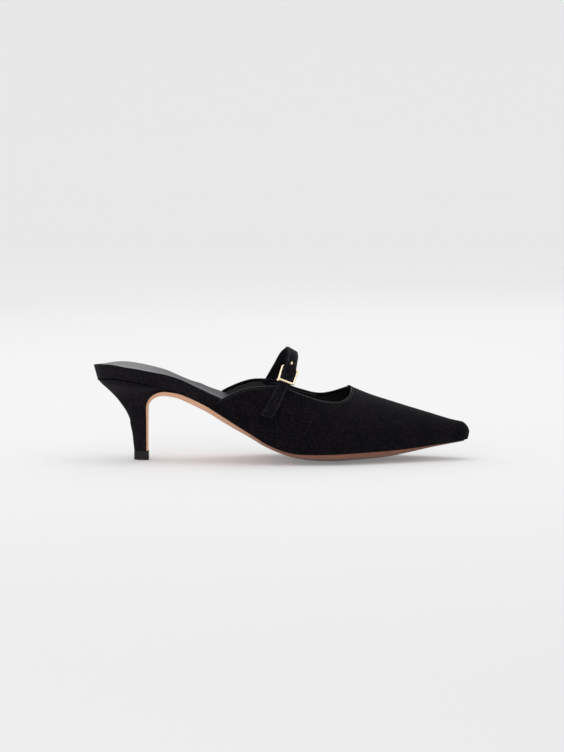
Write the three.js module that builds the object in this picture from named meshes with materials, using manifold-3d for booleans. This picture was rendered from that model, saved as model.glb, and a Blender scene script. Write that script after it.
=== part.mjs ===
// A pointed mary jane mule for the right foot, on a kitten heel.
// Millimetres, +X from the heel to the toe, +Y to the inner side of the foot, +Z up.
import * as THREE from "three";
import { mergeVertices } from "three/addons/utils/BufferGeometryUtils.js";
import Module from "manifold-3d";

const wasm = await Module();
wasm.setup();

const { clamp, lerp, smoothstep } = THREE.MathUtils;

// The last
const soleLength = 249.9;
const ballWidth = 78.6;
const seatWidth = 48;
const waistWidth = 38;
const toeWidth = 12.4;
const seatRadius = 23;
const bedTaper = 2.6;
const noseLength = 5.5;
const noseLift = 3.8;
const noseTuck = 2.4;
const noseGirth = 0.2;
const heelHeight = 55;
const toeSpring = 6.3;
const ballCrown = 3.7;
const instepHeight = 68.2;
const crestOffset = 5;
const toeSwing = 3;
const feltTuck = 0.8;

// Walls and layers
const clearance = 0.3;
const upperWall = 1.6;
const soleThickness = 3.3;
const flapThickness = 1.1;
const bedThickness = 8.9;
const sockThickness = 1.1;
const sockInset = 0.9;
const bedSetback = 9;
const soleSetback = 3.6;
const soleTrim = 0.4;

// The opening of the upper
const wingStart = 77.6;
const throatReach = 171.4;
const toplineHeight = 41.2;

// The heel
const breastReach = 35.1;
const heelBackInset = 3;
const breastRadius = 12;
const lipReach = 55.5;
const topPieceHeight = 6.2;
const topPieceProud = 0.1;
const heelRelief = 0.15;

// The strap and its buckle
const strapWidth = 7.9;
const strapBulge = 6.5;
const strapThickness = 1.5;
const buckleWidth = 11.8;
const buckleHeight = 12.2;
const buckleBar = 1.4;
const pinBallRadius = 0.95;
const prongThickness = 1.2;
const prongTipLength = 2.7;
const prongStandoff = 1.6;
const buckleSlack = 0.3;

// Outline of the last from above: half widths as shares of the width that each row follows.
const planRows = [
  { at: 0, wide: seatWidth, outer: 0.47, inner: 0.47 },
  { at: 0.05, wide: seatWidth, outer: 0.485, inner: 0.485 },
  { at: 0.1, wide: seatWidth, outer: 0.502, inner: 0.498 },
  { at: 0.15, wide: seatWidth, outer: 0.5, inner: 0.48 },
  { at: 0.195, wide: seatWidth, outer: 0.462, inner: 0.41 },
  { at: 0.235, wide: waistWidth, outer: 0.545, inner: 0.455 },
  { at: 0.265, wide: waistWidth, outer: 0.55, inner: 0.46 },
  { at: 0.297, wide: waistWidth, outer: 0.605, inner: 0.53 },
  { at: 0.337, wide: ballWidth, outer: 0.345, inner: 0.308 },
  { at: 0.38, wide: ballWidth, outer: 0.395, inner: 0.352 },
  { at: 0.44, wide: ballWidth, outer: 0.446, inner: 0.402 },
  { at: 0.5, wide: ballWidth, outer: 0.48, inner: 0.446 },
  { at: 0.56, wide: ballWidth, outer: 0.5, inner: 0.481 },
  { at: 0.613, wide: ballWidth, outer: 0.504, inner: 0.496 },
  { at: 0.66, wide: ballWidth, outer: 0.487, inner: 0.496 },
  { at: 0.713, wide: ballWidth, outer: 0.442, inner: 0.468 },
  { at: 0.769, wide: ballWidth, outer: 0.374, inner: 0.415 },
  { at: 0.833, wide: ballWidth, outer: 0.287, inner: 0.335 },
  { at: 0.897, wide: ballWidth, outer: 0.199, inner: 0.243 },
  { at: 0.953, wide: ballWidth, outer: 0.126, inner: 0.156 },
  { at: 1, wide: toeWidth, outer: 0.46, inner: 0.54 },
];

// Side view behind the ball: sole line and seat line as shares of the heel height,
// and the footbed's depth as a share of its thickness at the heel.
const archRows = [
  { at: 0, sole: 0.73, seat: 0.838, depth: 1.04 },
  { at: 0.045, sole: 0.73, seat: 0.872, depth: 1.01 },
  { at: 0.1, sole: 0.73, seat: 0.85, depth: 1.02 },
  { at: 0.15, sole: 0.73, seat: 0.807, depth: 1.03 },
  { at: 0.19, sole: 0.728, seat: 0.768, depth: 1 },
  { at: 0.23, sole: 0.699, seat: 0.708, depth: 0.92 },
  { at: 0.257, sole: 0.653, seat: 0.654, depth: 0.95 },
  { at: 0.284, sole: 0.597, seat: 0.597, depth: 1.06 },
  { at: 0.31, sole: 0.537, seat: 0.537, depth: 1.13 },
  { at: 0.34, sole: 0.457, seat: 0.457, depth: 1.3 },
  { at: 0.38, sole: 0.347, seat: 0.347, depth: 1.38 },
  { at: 0.42, sole: 0.24, seat: 0.24, depth: 1.34 },
  { at: 0.457, sole: 0.136, seat: 0.136, depth: 1.24 },
  { at: 0.5, sole: 0.052, seat: 0.052, depth: 1 },
  { at: 0.537, sole: 0.01, seat: 0.01, depth: 0.74 },
  { at: 0.577, sole: 0, seat: 0, depth: 0.56 },
  { at: 0.633, sole: 0, seat: 0, depth: 0.49 },
  { at: 1, sole: 0, seat: 0, depth: 0.45 },
];

// Side view ahead of the ball: rise of the sole line as a share of the toe spring.
const springRows = [
  { at: 0, spring: 0 },
  { at: 0.633, spring: 0 },
  { at: 0.685, spring: 0.06 },
  { at: 0.738, spring: 0.14 },
  { at: 0.792, spring: 0.21 },
  { at: 0.845, spring: 0.35 },
  { at: 0.898, spring: 0.56 },
  { at: 0.952, spring: 0.8 },
  { at: 1, spring: 1.05 },
];

// Sole along the length: how far its middle hangs below its edges and how thick it is,
// as shares of the crown at the ball and of the thickness there.
const soleRows = [
  { at: 0, crown: 0, thick: 0.95 },
  { at: 0.2, crown: 0, thick: 0.97 },
  { at: 0.26, crown: 0.02, thick: 1.16 },
  { at: 0.3, crown: 0.1, thick: 1.08 },
  { at: 0.35, crown: 0.24, thick: 1 },
  { at: 0.4, crown: 0.35, thick: 0.78 },
  { at: 0.46, crown: 0.5, thick: 0.6 },
  { at: 0.52, crown: 0.72, thick: 0.62 },
  { at: 0.58, crown: 0.95, thick: 0.9 },
  { at: 0.64, crown: 1, thick: 1.09 },
  { at: 0.69, crown: 0.97, thick: 1.06 },
  { at: 0.77, crown: 0.8, thick: 0.98 },
  { at: 0.845, crown: 0.5, thick: 0.62 },
  { at: 0.9, crown: 0.3, thick: 0.4 },
  { at: 1, crown: 0.15, thick: 0.24 },
];

// Sections of the last: height of the crest over the sole line as a share of the instep,
// the crest's lean to the inner side, and the two exponents that shape the section.
const sectionRows = [
  { at: 0.3, crest: 1, lean: 0.6, ridge: 1.12, shoulder: 1 },
  { at: 0.4, crest: 1, lean: 0.8, ridge: 1.14, shoulder: 1 },
  { at: 0.465, crest: 0.99, lean: 1, ridge: 1.16, shoulder: 1 },
  { at: 0.5, crest: 0.957, lean: 1, ridge: 1.18, shoulder: 1 },
  { at: 0.533, crest: 0.9, lean: 1, ridge: 1.2, shoulder: 1 },
  { at: 0.56, crest: 0.846, lean: 1, ridge: 1.2, shoulder: 1 },
  { at: 0.6, crest: 0.761, lean: 1, ridge: 1.2, shoulder: 1 },
  { at: 0.64, crest: 0.685, lean: 0.95, ridge: 1.2, shoulder: 1 },
  { at: 0.686, crest: 0.603, lean: 0.9, ridge: 1.18, shoulder: 0.99 },
  { at: 0.738, crest: 0.517, lean: 0.8, ridge: 1.14, shoulder: 0.97 },
  { at: 0.792, crest: 0.447, lean: 0.65, ridge: 1.1, shoulder: 0.95 },
  { at: 0.845, crest: 0.373, lean: 0.5, ridge: 1.06, shoulder: 0.92 },
  { at: 0.898, crest: 0.296, lean: 0.3, ridge: 1.02, shoulder: 0.9 },
  { at: 0.952, crest: 0.22, lean: 0.15, ridge: 1, shoulder: 0.88 },
  { at: 1, crest: 0.165, lean: 0, ridge: 1, shoulder: 0.86 },
];

// Topline from the wing's tail to the throat: reach is the share of the way from
// the wing's start to the throat, rise the share of the topline's height over the sole line.
const outerTopline = [
  { reach: 0, rise: 0.045 },
  { reach: 0.075, rise: 0.25 },
  { reach: 0.146, rise: 0.434 },
  { reach: 0.218, rise: 0.604 },
  { reach: 0.306, rise: 0.77 },
  { reach: 0.415, rise: 0.938 },
  { reach: 0.497, rise: 1.0 },
  { reach: 0.564, rise: 0.998 },
  { reach: 0.677, rise: 0.922 },
  { reach: 0.783, rise: 0.844 },
  { reach: 0.879, rise: 0.806 },
  { reach: 0.943, rise: 0.822 },
  { reach: 0.985, rise: 0.88 },
  { reach: 1.002, rise: 0.95 },
  { reach: 1, rise: 1 },
];
const innerTopline = [
  { reach: 0, rise: 0.045 },
  { reach: 0.075, rise: 0.275 },
  { reach: 0.146, rise: 0.455 },
  { reach: 0.218, rise: 0.618 },
  { reach: 0.3, rise: 0.775 },
  { reach: 0.38, rise: 0.893 },
  { reach: 0.45, rise: 0.95 },
  { reach: 0.54, rise: 0.955 },
  { reach: 0.64, rise: 0.912 },
  { reach: 0.73, rise: 0.86 },
  { reach: 0.8, rise: 0.848 },
  { reach: 0.87, rise: 0.88 },
  { reach: 0.93, rise: 0.93 },
  { reach: 0.975, rise: 0.975 },
  { reach: 1, rise: 1 },
];

// Heel block from the top piece up to the seat: length behind the breast and half width,
// as shares of the seat's.
const heelRows = [
  { at: 0, back: 0.257, half: 0.2 },
  { at: 0.13, back: 0.278, half: 0.204 },
  { at: 0.237, back: 0.296, half: 0.218 },
  { at: 0.307, back: 0.317, half: 0.236 },
  { at: 0.377, back: 0.338, half: 0.258 },
  { at: 0.43, back: 0.344, half: 0.282 },
  { at: 0.5, back: 0.384, half: 0.322 },
  { at: 0.557, back: 0.426, half: 0.37 },
  { at: 0.61, back: 0.477, half: 0.425 },
  { at: 0.667, back: 0.537, half: 0.49 },
  { at: 0.742, back: 0.625, half: 0.59 },
  { at: 0.812, back: 0.724, half: 0.7 },
  { at: 0.876, back: 0.823, half: 0.805 },
  { at: 0.948, back: 0.94, half: 0.91 },
  { at: 1, back: 1, half: 0.965 },
];

// Middle of the strap from its outer end, over the crest, to its inner end: side is -1 on
// the outer side, rise the share of the way from the sole line up to the crest, and lift
// how far the strap arches off the last as a share of its bulge.
const strapRows = [
  { side: -1, at: 0.4635, rise: 0.275, lift: 0 },
  { side: -1, at: 0.4755, rise: 0.37, lift: 0 },
  { side: -1, at: 0.487, rise: 0.485, lift: 0.01 },
  { side: -1, at: 0.4965, rise: 0.6, lift: 0.12 },
  { side: -1, at: 0.5035, rise: 0.7, lift: 0.5 },
  { side: -1, at: 0.508, rise: 0.79, lift: 0.95 },
  { side: -1, at: 0.5135, rise: 0.885, lift: 1.05 },
  { side: -1, at: 0.52, rise: 0.965, lift: 0.6 },
  { side: 1, at: 0.5265, rise: 1, lift: 0.08 },
  { side: 1, at: 0.526, rise: 0.95, lift: 0.22 },
  { side: 1, at: 0.5155, rise: 0.865, lift: 0.36 },
  { side: 1, at: 0.499, rise: 0.74, lift: 0.26 },
  { side: 1, at: 0.481, rise: 0.6, lift: 0.08 },
  { side: 1, at: 0.464, rise: 0.465, lift: 0.01 },
  { side: 1, at: 0.447, rise: 0.335, lift: 0 },
  { side: 1, at: 0.434, rise: 0.235, lift: 0 },
];
const lowerBarShare = 0.213;

const suede = new THREE.MeshStandardMaterial({ color: 0x1b1a1c, roughness: 0.95 });
const tanLeather = new THREE.MeshStandardMaterial({ color: 0xc4936f, roughness: 0.5 });
const sockLeather = new THREE.MeshStandardMaterial({ color: 0x55565a, roughness: 0.45 });
const topLift = new THREE.MeshStandardMaterial({ color: 0x2a2a2b, roughness: 0.7 });
const paleGold = new THREE.MeshStandardMaterial({ color: 0xe0cda4, roughness: 0.25, metalness: 1 });

// A smooth curve through one value of a table's rows, read at a share of the length.
function follow(rows, value) {
  const spline = new THREE.CubicInterpolant(
    rows.map((row) => row.at),
    rows.map(value),
    1,
  );
  return (share) => spline.evaluate(share)[0];
}

const outerHalf = follow(planRows, (row) => row.wide * row.outer);
const innerHalf = follow(planRows, (row) => row.wide * row.inner);
const soleShare = follow(archRows, (row) => row.sole);
const seatShare = follow(archRows, (row) => row.seat);
const depthShare = follow(archRows, (row) => row.depth);
const springShare = follow(springRows, (row) => row.spring);
const crownShare = follow(soleRows, (row) => row.crown);
const thickShare = follow(soleRows, (row) => row.thick);
const crestShare = follow(sectionRows, (row) => row.crest);
const leanShare = follow(sectionRows, (row) => row.lean);
const ridgePower = follow(sectionRows, (row) => row.ridge);
const shoulderPower = follow(sectionRows, (row) => row.shoulder);
const heelBackShare = follow(heelRows, (row) => row.back);
const heelHalfShare = follow(heelRows, (row) => row.half);

// Heights of the last's lines over the floor.
const treadLine = soleThickness + ballCrown + clearance;
const springLine = (x) => toeSpring * springShare(x / soleLength);
const soleLine = (x) => treadLine + heelHeight * soleShare(x / soleLength) + springLine(x);
const seatLine = (x) => treadLine + heelHeight * seatShare(x / soleLength) + springLine(x);
const bedTop = (x) => seatLine(x) + bedThickness * depthShare(x / soleLength);
const noseHeight = soleLine(soleLength) + noseLift;

// Half width of the last to one side, before its ends are rounded.
const plainHalf = (x, side) => (side < 0 ? outerHalf(x / soleLength) : innerHalf(x / soleLength));

// The middle line swings to the inner side ahead of the ball.
const swing = (x) => toeSwing * smoothstep(x / soleLength, 0.55, 1);

// How far a rounded outline has closed at x, from 1 along its sides to 0 at either end.
function closing(x, back, backRadius, front, frontRadius) {
  const behind = clamp((back + backRadius - x) / backRadius, 0, 1);
  const ahead = clamp((x - front + frontRadius) / frontRadius, 0, 1);
  return Math.sqrt(1 - behind ** 2) * Math.sqrt(1 - ahead ** 2);
}

// The tip of the last tucks back under its nose towards the sole line.
const underNose = (girth) => Math.max(0, 1 - girth / noseGirth);
const noseReach = (girth) => soleLength - noseTuck * underNose(girth) ** 2;
const lastClosing = (x, girth) => closing(x, 0, seatRadius, noseReach(girth), noseLength);

// The footbed is full width to the rear and steps in where the wings wrap it.
const wrapDepth = upperWall + clearance + feltTuck;
const wrapInset = (x) => wrapDepth * smoothstep(x, wingStart - 8, wingStart - 1);

function bedHalf(x, side) {
  const end = closing(x, 0, seatRadius, soleLength - bedSetback, noseLength);
  return (plainHalf(x, side) - wrapInset(x)) * end;
}

function sockHalf(x, side) {
  const end = closing(x, sockInset, seatRadius, soleLength - bedSetback - sockInset, noseLength);
  return (plainHalf(x, side) - sockInset - wrapInset(x)) * end;
}

// The outsole lies flush with the footbed at the waist and a little inside the upper ahead.
function soleHalf(x, side) {
  const trim = soleTrim * (1 + 2 * smoothstep(x / soleLength, 0.8, 0.95));
  const end = closing(x, 0, seatRadius, soleLength - soleSetback, noseLength);
  return (plainHalf(x, side) - trim) * end;
}

// How far the bottom of the last hangs below its edge line at one point.
function crownDrop(x, y, side) {
  const across = clamp(y / plainHalf(x, side), -1, 1);
  return ballCrown * crownShare(x / soleLength) * (1 - across ** 2);
}

// A point of the last's skin: girth runs from 0 at the sole line to 1 at the crest.
function lastPoint(x, girth, side) {
  const share = x / soleLength;
  const close = lastClosing(x, girth);
  const crest = crestOffset * leanShare(share) * close;
  const turn = (girth * Math.PI) / 2;
  const reach = plainHalf(x, side) * close - side * crest;
  const rounding = 4 * Math.sqrt(girth) * (1 - Math.sqrt(girth));
  const out = reach * Math.cos(turn) ** ridgePower(share) + feltTuck * close * rounding;
  const nose = lerp(noseHeight, soleLine(x), underNose(girth));
  const foot = lerp(nose, soleLine(x), close);
  const head = lerp(nose, soleLine(x) + instepHeight * crestShare(share), close);
  return new THREE.Vector3(
    x,
    swing(x) + crest + side * out,
    lerp(foot, head, Math.sin(turn) ** shoulderPower(share)),
  );
}

// Girth of the last at a share of the way up from the sole line to the crest.
function girthAt(x, rise) {
  return (2 / Math.PI) * Math.asin(clamp(rise, 0, 1) ** (1 / shoulderPower(x / soleLength)));
}

function lastNormal(x, girth, side) {
  const step = 0.5;
  const here = lastPoint(x, girth, side);
  const ahead = lastPoint(x + step, girth, side).sub(here);
  const up = lastPoint(x, Math.min(girth + 0.01, 1), side).sub(lastPoint(x, girth - 0.01, side));
  return ahead.cross(up).multiplyScalar(side).negate().normalize();
}

// A closed solid from corner points and four-cornered faces, wound to face outwards.
function solidOf(points, faces) {
  const geometry = new THREE.BufferGeometry().setFromPoints(points);
  geometry.setIndex(faces.flatMap(([a, b, c, d]) => [a, b, c, a, c, d]));
  const merged = mergeVertices(geometry, 2e-3);
  const corners = [];
  const index = merged.index.array;
  for (let i = 0; i < index.length; i += 3) {
    const [a, b, c] = index.slice(i, i + 3);
    if (a !== b && b !== c && c !== a) corners.push(a, b, c);
  }
  merged.setIndex(corners);
  return enclosed(merged) < 0 ? turnedOut(merged) : merged;
}

// Volume inside a mesh, negative where its faces point inwards.
function enclosed(geometry) {
  const place = geometry.getAttribute("position");
  const index = geometry.index.array;
  const corner = (i) => new THREE.Vector3().fromBufferAttribute(place, index[i]);
  let volume = 0;
  for (let i = 0; i < index.length; i += 3) {
    volume += corner(i).dot(corner(i + 1).cross(corner(i + 2))) / 6;
  }
  return volume;
}

function turnedOut(geometry) {
  geometry.setIndex(Array.from(geometry.index.array).reverse());
  return geometry;
}

// A solid between two skins over the same grid. skin(u, v, layer) gives layer 0 or 1.
function slab(uSteps, vSteps, skin) {
  const points = [];
  for (const layer of [0, 1]) {
    for (let i = 0; i <= uSteps; i++) {
      for (let j = 0; j <= vSteps; j++) points.push(skin(i / uSteps, j / vSteps, layer));
    }
  }
  const at = (i, j, layer) => layer * (uSteps + 1) * (vSteps + 1) + i * (vSteps + 1) + j;
  const faces = [];
  for (let i = 0; i < uSteps; i++) {
    for (let j = 0; j < vSteps; j++) {
      faces.push([at(i, j, 0), at(i + 1, j, 0), at(i + 1, j + 1, 0), at(i, j + 1, 0)]);
      faces.push([at(i, j, 1), at(i, j + 1, 1), at(i + 1, j + 1, 1), at(i + 1, j, 1)]);
    }
    faces.push([at(i, 0, 0), at(i, 0, 1), at(i + 1, 0, 1), at(i + 1, 0, 0)]);
    faces.push([at(i, vSteps, 0), at(i + 1, vSteps, 0), at(i + 1, vSteps, 1), at(i, vSteps, 1)]);
  }
  for (let j = 0; j < vSteps; j++) {
    faces.push([at(0, j, 0), at(0, j + 1, 0), at(0, j + 1, 1), at(0, j, 1)]);
    faces.push([at(uSteps, j, 0), at(uSteps, j, 1), at(uSteps, j + 1, 1), at(uSteps, j + 1, 0)]);
  }
  return solidOf(points, faces);
}

// A solid from a stack of open rings, each from the front of one side round the back
// to the front of the other. Straight rungs close it in front, below and above.
function stack(rings) {
  const count = rings[0].length;
  const at = (ring, j) => ring * count + j;
  const last = rings.length - 1;
  const faces = [];
  for (let ring = 0; ring < last; ring++) {
    for (let j = 0; j < count - 1; j++) {
      faces.push([at(ring, j), at(ring, j + 1), at(ring + 1, j + 1), at(ring + 1, j)]);
    }
    faces.push([at(ring, count - 1), at(ring, 0), at(ring + 1, 0), at(ring + 1, count - 1)]);
  }
  for (let j = 0; j < Math.floor(count / 2); j++) {
    const k = count - 1 - j;
    faces.push([at(0, j), at(0, k), at(0, k - 1), at(0, j + 1)]);
    faces.push([at(last, j), at(last, j + 1), at(last, k - 1), at(last, k)]);
  }
  return solidOf(rings.flat(), faces);
}

function manifoldOf(geometry) {
  const bare = geometry.clone();
  for (const name of ["normal", "uv"]) bare.deleteAttribute(name);
  const merged = mergeVertices(bare, 1e-3);
  return new wasm.Manifold(
    new wasm.Mesh({
      numProp: 3,
      vertProperties: merged.getAttribute("position").array,
      triVerts: new Uint32Array(merged.index.array),
    }),
  );
}

function geometryOf(manifold) {
  const mesh = manifold.getMesh();
  const place = new THREE.BufferAttribute(new Float32Array(mesh.vertProperties), 3);
  return new THREE.BufferGeometry()
    .setAttribute("position", place)
    .setIndex(new THREE.BufferAttribute(new Uint32Array(mesh.triVerts), 1));
}

function named(name, geometry, material) {
  const mesh = new THREE.Mesh(geometry, material);
  mesh.name = name;
  return mesh;
}

// The path of the sole's upper face: 0 to 1 up the breast of the heel, 1 to 2 round its
// curve and 2 to 3 along the arch. gap moves the path off the heel.
const breastCentre = breastReach + clearance + breastRadius;
const breastTop = soleLine(breastCentre) - clearance - breastRadius;
const heelFoot = topPieceHeight + clearance;

function breastPath(path, gap) {
  const radius = breastRadius + clearance - gap;
  if (path <= 1) return { x: breastCentre - radius, z: lerp(heelFoot, breastTop, path) };
  if (path <= 2) {
    const angle = ((path - 1) * Math.PI) / 2;
    const x = breastCentre - radius * Math.cos(angle);
    return { x, z: breastTop + radius * Math.sin(angle) };
  }
  const x = lerp(breastCentre, lipReach, path - 2);
  return { x, z: soleLine(x) - gap };
}

// Half width of the sole and of the heel's front edge along the same path.
function pathHalf(path, side) {
  const rise = (z) => (z - heelFoot) / (seatLine(0) - heelFoot);
  const neck = (z) => (heelHalfShare(clamp(rise(z), 0, 1)) * seatWidth) / 2;
  if (path <= 1) return neck(breastPath(path, 0).z);
  return lerp(neck(breastTop), soleHalf(breastPath(path, 0).x, side), smoothstep(path, 0.9, 2));
}

function outsole() {
  const flapShare = 0.26;
  const toeEnd = soleLength - soleSetback;
  return slab(56, 10, (u, v, layer) => {
    const across = 2 * v - 1;
    const side = across < 0 ? -1 : 1;
    if (u < flapShare) {
      const path = (2 * u) / flapShare;
      const thick = lerp(flapThickness, soleThickness * thickShare(0), smoothstep(path, 0.8, 2));
      const spot = breastPath(path, clearance + layer * thick);
      return new THREE.Vector3(spot.x, across * pathHalf(path, side), spot.z);
    }
    const along = (u - flapShare) / (1 - flapShare);
    const x = lerp(breastCentre, toeEnd, lerp(along, Math.sin((along * Math.PI) / 2), 0.45));
    const y = across * soleHalf(x, side);
    const top = soleLine(x) - clearance - crownDrop(x, y, side);
    const slope = soleLine(x + 1) - soleLine(x);
    const bevel = 1 - 0.22 * across ** 6;
    const thick = soleThickness * thickShare(x / soleLength) * Math.hypot(1, slope) * bevel;
    return new THREE.Vector3(x, swing(x) + y, layer ? Math.max(top - thick, 0) : top);
  });
}

function heelBlock() {
  const flapRise = (breastTop - heelFoot) / (seatLine(0) - heelFoot);
  const sideSteps = 9;
  const levels = 28;
  const rings = Array.from({ length: levels + 1 }, (_, level) => {
    const rise = level / levels;
    const back = heelBackShare(rise);
    const half = heelHalfShare(rise);
    const path = rise < flapRise ? rise / flapRise : 1 + (2 * (rise - flapRise)) / (1 - flapRise);
    const front = breastPath(path, -heelRelief);
    const backX = breastReach - (breastReach - heelBackInset) * back;
    const backZ = lerp(heelFoot, seatLine(heelBackInset) - clearance, rise);
    const seated = smoothstep(rise, 0.7, 1);
    const halfRing = (side) =>
      Array.from({ length: sideSteps + 1 }, (_, step) => {
        const turn = ((step / sideSteps) * Math.PI) / 2;
        const along = Math.sin(turn);
        const away = along ** (1 + smoothstep(path, 1, 1.8));
        const x = lerp(front.x, backX, away);
        const neck = lerp(pathHalf(path, side), (half * seatWidth) / 2, along);
        const seat = bedHalf(lerp(front.x, 0, away), side) * half;
        const y = side * lerp(neck * Math.cos(turn) ** 0.8, seat, seated);
        const under = seatLine(x) - clearance - heelRelief;
        const level = Math.min(lerp(front.z, backZ, along), under + rise - 1);
        return new THREE.Vector3(x, y, rise === 1 ? under : level);
      });
    const outer = halfRing(-1);
    const inner = halfRing(1).reverse();
    return [...outer, ...inner.slice(1)];
  });
  return stack(rings);
}

function topPiece() {
  const half = (heelRows[0].half * seatWidth) / 2 + topPieceProud;
  const frontX = breastReach + clearance + flapThickness + topPieceProud;
  const backX = breastReach - (breastReach - heelBackInset) * heelRows[0].back - topPieceProud;
  const sideSteps = 9;
  const ring = (z) =>
    Array.from({ length: 2 * sideSteps + 1 }, (_, step) => {
      const turn = ((step / sideSteps - 1) * Math.PI) / 2;
      const x = lerp(frontX, backX, Math.cos(turn));
      return new THREE.Vector3(x, half * Math.sign(turn) * Math.abs(Math.sin(turn)) ** 0.8, z);
    });
  return stack([ring(0), ring(topPieceHeight)]);
}

function footbed() {
  const frontX = soleLength - bedSetback;
  return slab(46, 8, (u, v, layer) => {
    const x = lerp(0, frontX, lerp(u, 0.5 - 0.5 * Math.cos(u * Math.PI), 0.75));
    const across = 2 * v - 1;
    const side = across < 0 ? -1 : 1;
    const y = across * bedHalf(x, side);
    const seat = 1 - smoothstep(x, 0, 3 * seatRadius);
    const pulled = x + bedTaper * seat;
    const under = seatLine(pulled) - crownDrop(x, y, side);
    const top = bedTop(x) - crownDrop(x, y, side) - sockThickness - clearance;
    return layer
      ? new THREE.Vector3(pulled, swing(x) + y * (1 - (seat * bedTaper) / seatWidth), under)
      : new THREE.Vector3(x, swing(x) + y, top);
  });
}

function sock() {
  const frontX = soleLength - bedSetback - sockInset;
  return slab(46, 6, (u, v, layer) => {
    const x = lerp(sockInset, frontX, lerp(u, 0.5 - 0.5 * Math.cos(u * Math.PI), 0.75));
    const across = 2 * v - 1;
    const side = across < 0 ? -1 : 1;
    const y = across * sockHalf(x, side);
    const top = bedTop(x) - crownDrop(x, y, side);
    return new THREE.Vector3(x, swing(x) + y, layer ? top - sockThickness : top);
  });
}

// Topline of one side as a curve of reach and height, in millimetres.
function toplineOf(rows) {
  const point = ({ reach, rise }) =>
    new THREE.Vector2(lerp(wingStart, throatReach, reach), rise * toplineHeight);
  return new THREE.SplineCurve(rows.map(point));
}

const toplines = { "-1": toplineOf(outerTopline), 1: toplineOf(innerTopline) };

// Outer skin of the upper: u runs from one wing's tail round the toe to the other's,
// v from the sole line to the topline.
function upperSkin(u, v) {
  const side = u < 0.5 ? -1 : 1;
  const toward = 1 - Math.abs(2 * u - 1);
  const rest = 1 - toward;
  const edge = toplines[side].getPointAt(1 - lerp(rest ** 2.6, rest, 0.25));
  const crest = instepHeight * crestShare(edge.x / soleLength);
  const edgeGirth = lerp(girthAt(edge.x, edge.y / crest), 1, smoothstep(toward, 0.9, 1));
  const start = lerp(toward, Math.sin((toward * Math.PI) / 2), 0.65);
  const girth = v === 0 ? 0 : (edgeGirth * v) / (v + rest * (1 - v));
  const foot = lerp(wingStart, noseReach(girth), start);
  const x = lerp(foot, edge.x, v ** (1 + 0.8 * toward));
  return lastPoint(x, girth, side);
}

function upper() {
  const uSteps = 68;
  const vSteps = 13;
  const spot = (i, j) => upperSkin(clamp(i, 0, uSteps) / uSteps, clamp(j, 0, vSteps) / vSteps);
  return slab(uSteps, vSteps, (u, v, layer) => {
    const i = Math.round(u * uSteps);
    const j = Math.round(v * vSteps);
    const here = spot(i, j);
    const along = spot(i + 1, j).sub(spot(i - 1, j));
    const up = spot(i, j + 1).sub(spot(i, j - 1));
    const inward = up.cross(along).normalize();
    return here.addScaledVector(inward, layer * upperWall);
  });
}

// The strap's middle line, lifted off the last, with its outward direction at each share.
const strapSpots = strapRows.map(({ side, at, rise, lift }) => {
  const x = at * soleLength;
  const girth = girthAt(x, rise);
  const out = rise === 1 ? new THREE.Vector3(0.45, 0, 0.89) : lastNormal(x, girth, side);
  const off = clearance + strapThickness / 2 + lift * strapBulge;
  const place = lastPoint(x, girth, side).addScaledVector(out, off);
  return { place, out };
});
const strapLine = new THREE.CatmullRomCurve3(
  strapSpots.map(({ place }) => place),
  false,
  "centripetal",
);
const strapFacing = new THREE.CatmullRomCurve3(strapSpots.map(({ out }) => out));

// Frame of the strap at a share of its length: x across it, y along it, z away from the foot.
function strapFrame(share) {
  const along = strapLine.getTangentAt(share);
  const out = strapFacing.getPoint(strapLine.getUtoTmapping(share));
  const across = along.clone().cross(out).normalize();
  const face = across.clone().cross(along).normalize();
  const frame = new THREE.Matrix4().makeBasis(across, along, face);
  return frame.setPosition(strapLine.getPointAt(share));
}

function strap() {
  const band = slab(52, 2, (u, v, layer) =>
    new THREE.Vector3((v - 0.5) * strapWidth, 0, (0.5 - layer) * strapThickness).applyMatrix4(
      strapFrame(u),
    ),
  );
  const punch = new THREE.CylinderGeometry(holeWidth / 2, holeWidth / 2, 3 * strapThickness, 12)
    .rotateX(Math.PI / 2)
    .translate(0, prongReach, 0)
    .applyMatrix4(strapFrame(upperBarShare));
  return geometryOf(manifoldOf(band).subtract(manifoldOf(punch)));
}

// The strap runs behind the buckle's lower bar and over its upper bar.
const barOffset = (strapThickness + buckleBar) / 2 + clearance + buckleSlack;
const barSpacing = buckleHeight - buckleBar;

function barSpot(share, facing) {
  return new THREE.Vector3(0, 0, facing * barOffset).applyMatrix4(strapFrame(share));
}

// Share of the strap's length at which the upper bar is one bar spacing from the lower.
function upperShareOf(lower) {
  let [near, far] = [lowerBarShare, lowerBarShare + 0.3];
  for (let pass = 0; pass < 30; pass++) {
    const middle = (near + far) / 2;
    if (barSpot(middle, -1).distanceTo(lower) < barSpacing) near = middle;
    else far = middle;
  }
  return near;
}

const lowerBar = barSpot(lowerBarShare, 1);
const upperBarShare = upperShareOf(lowerBar);
const upperBar = barSpot(upperBarShare, -1);

// Distance from the upper bar up the strap to the prong's hole.
const prongReach = buckleBar / 2 + prongStandoff;
const holeWidth = prongThickness + 2 * clearance;

function roundedFrame(width, height, radius, Kind) {
  const [x, y] = [width / 2 - radius, height / 2 - radius];
  const outline = new Kind();
  outline.absarc(x, y, radius, 0, Math.PI / 2);
  outline.absarc(-x, y, radius, Math.PI / 2, Math.PI);
  outline.absarc(-x, -y, radius, Math.PI, 1.5 * Math.PI);
  outline.absarc(x, -y, radius, 1.5 * Math.PI, 2 * Math.PI);
  outline.closePath();
  return outline;
}

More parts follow.
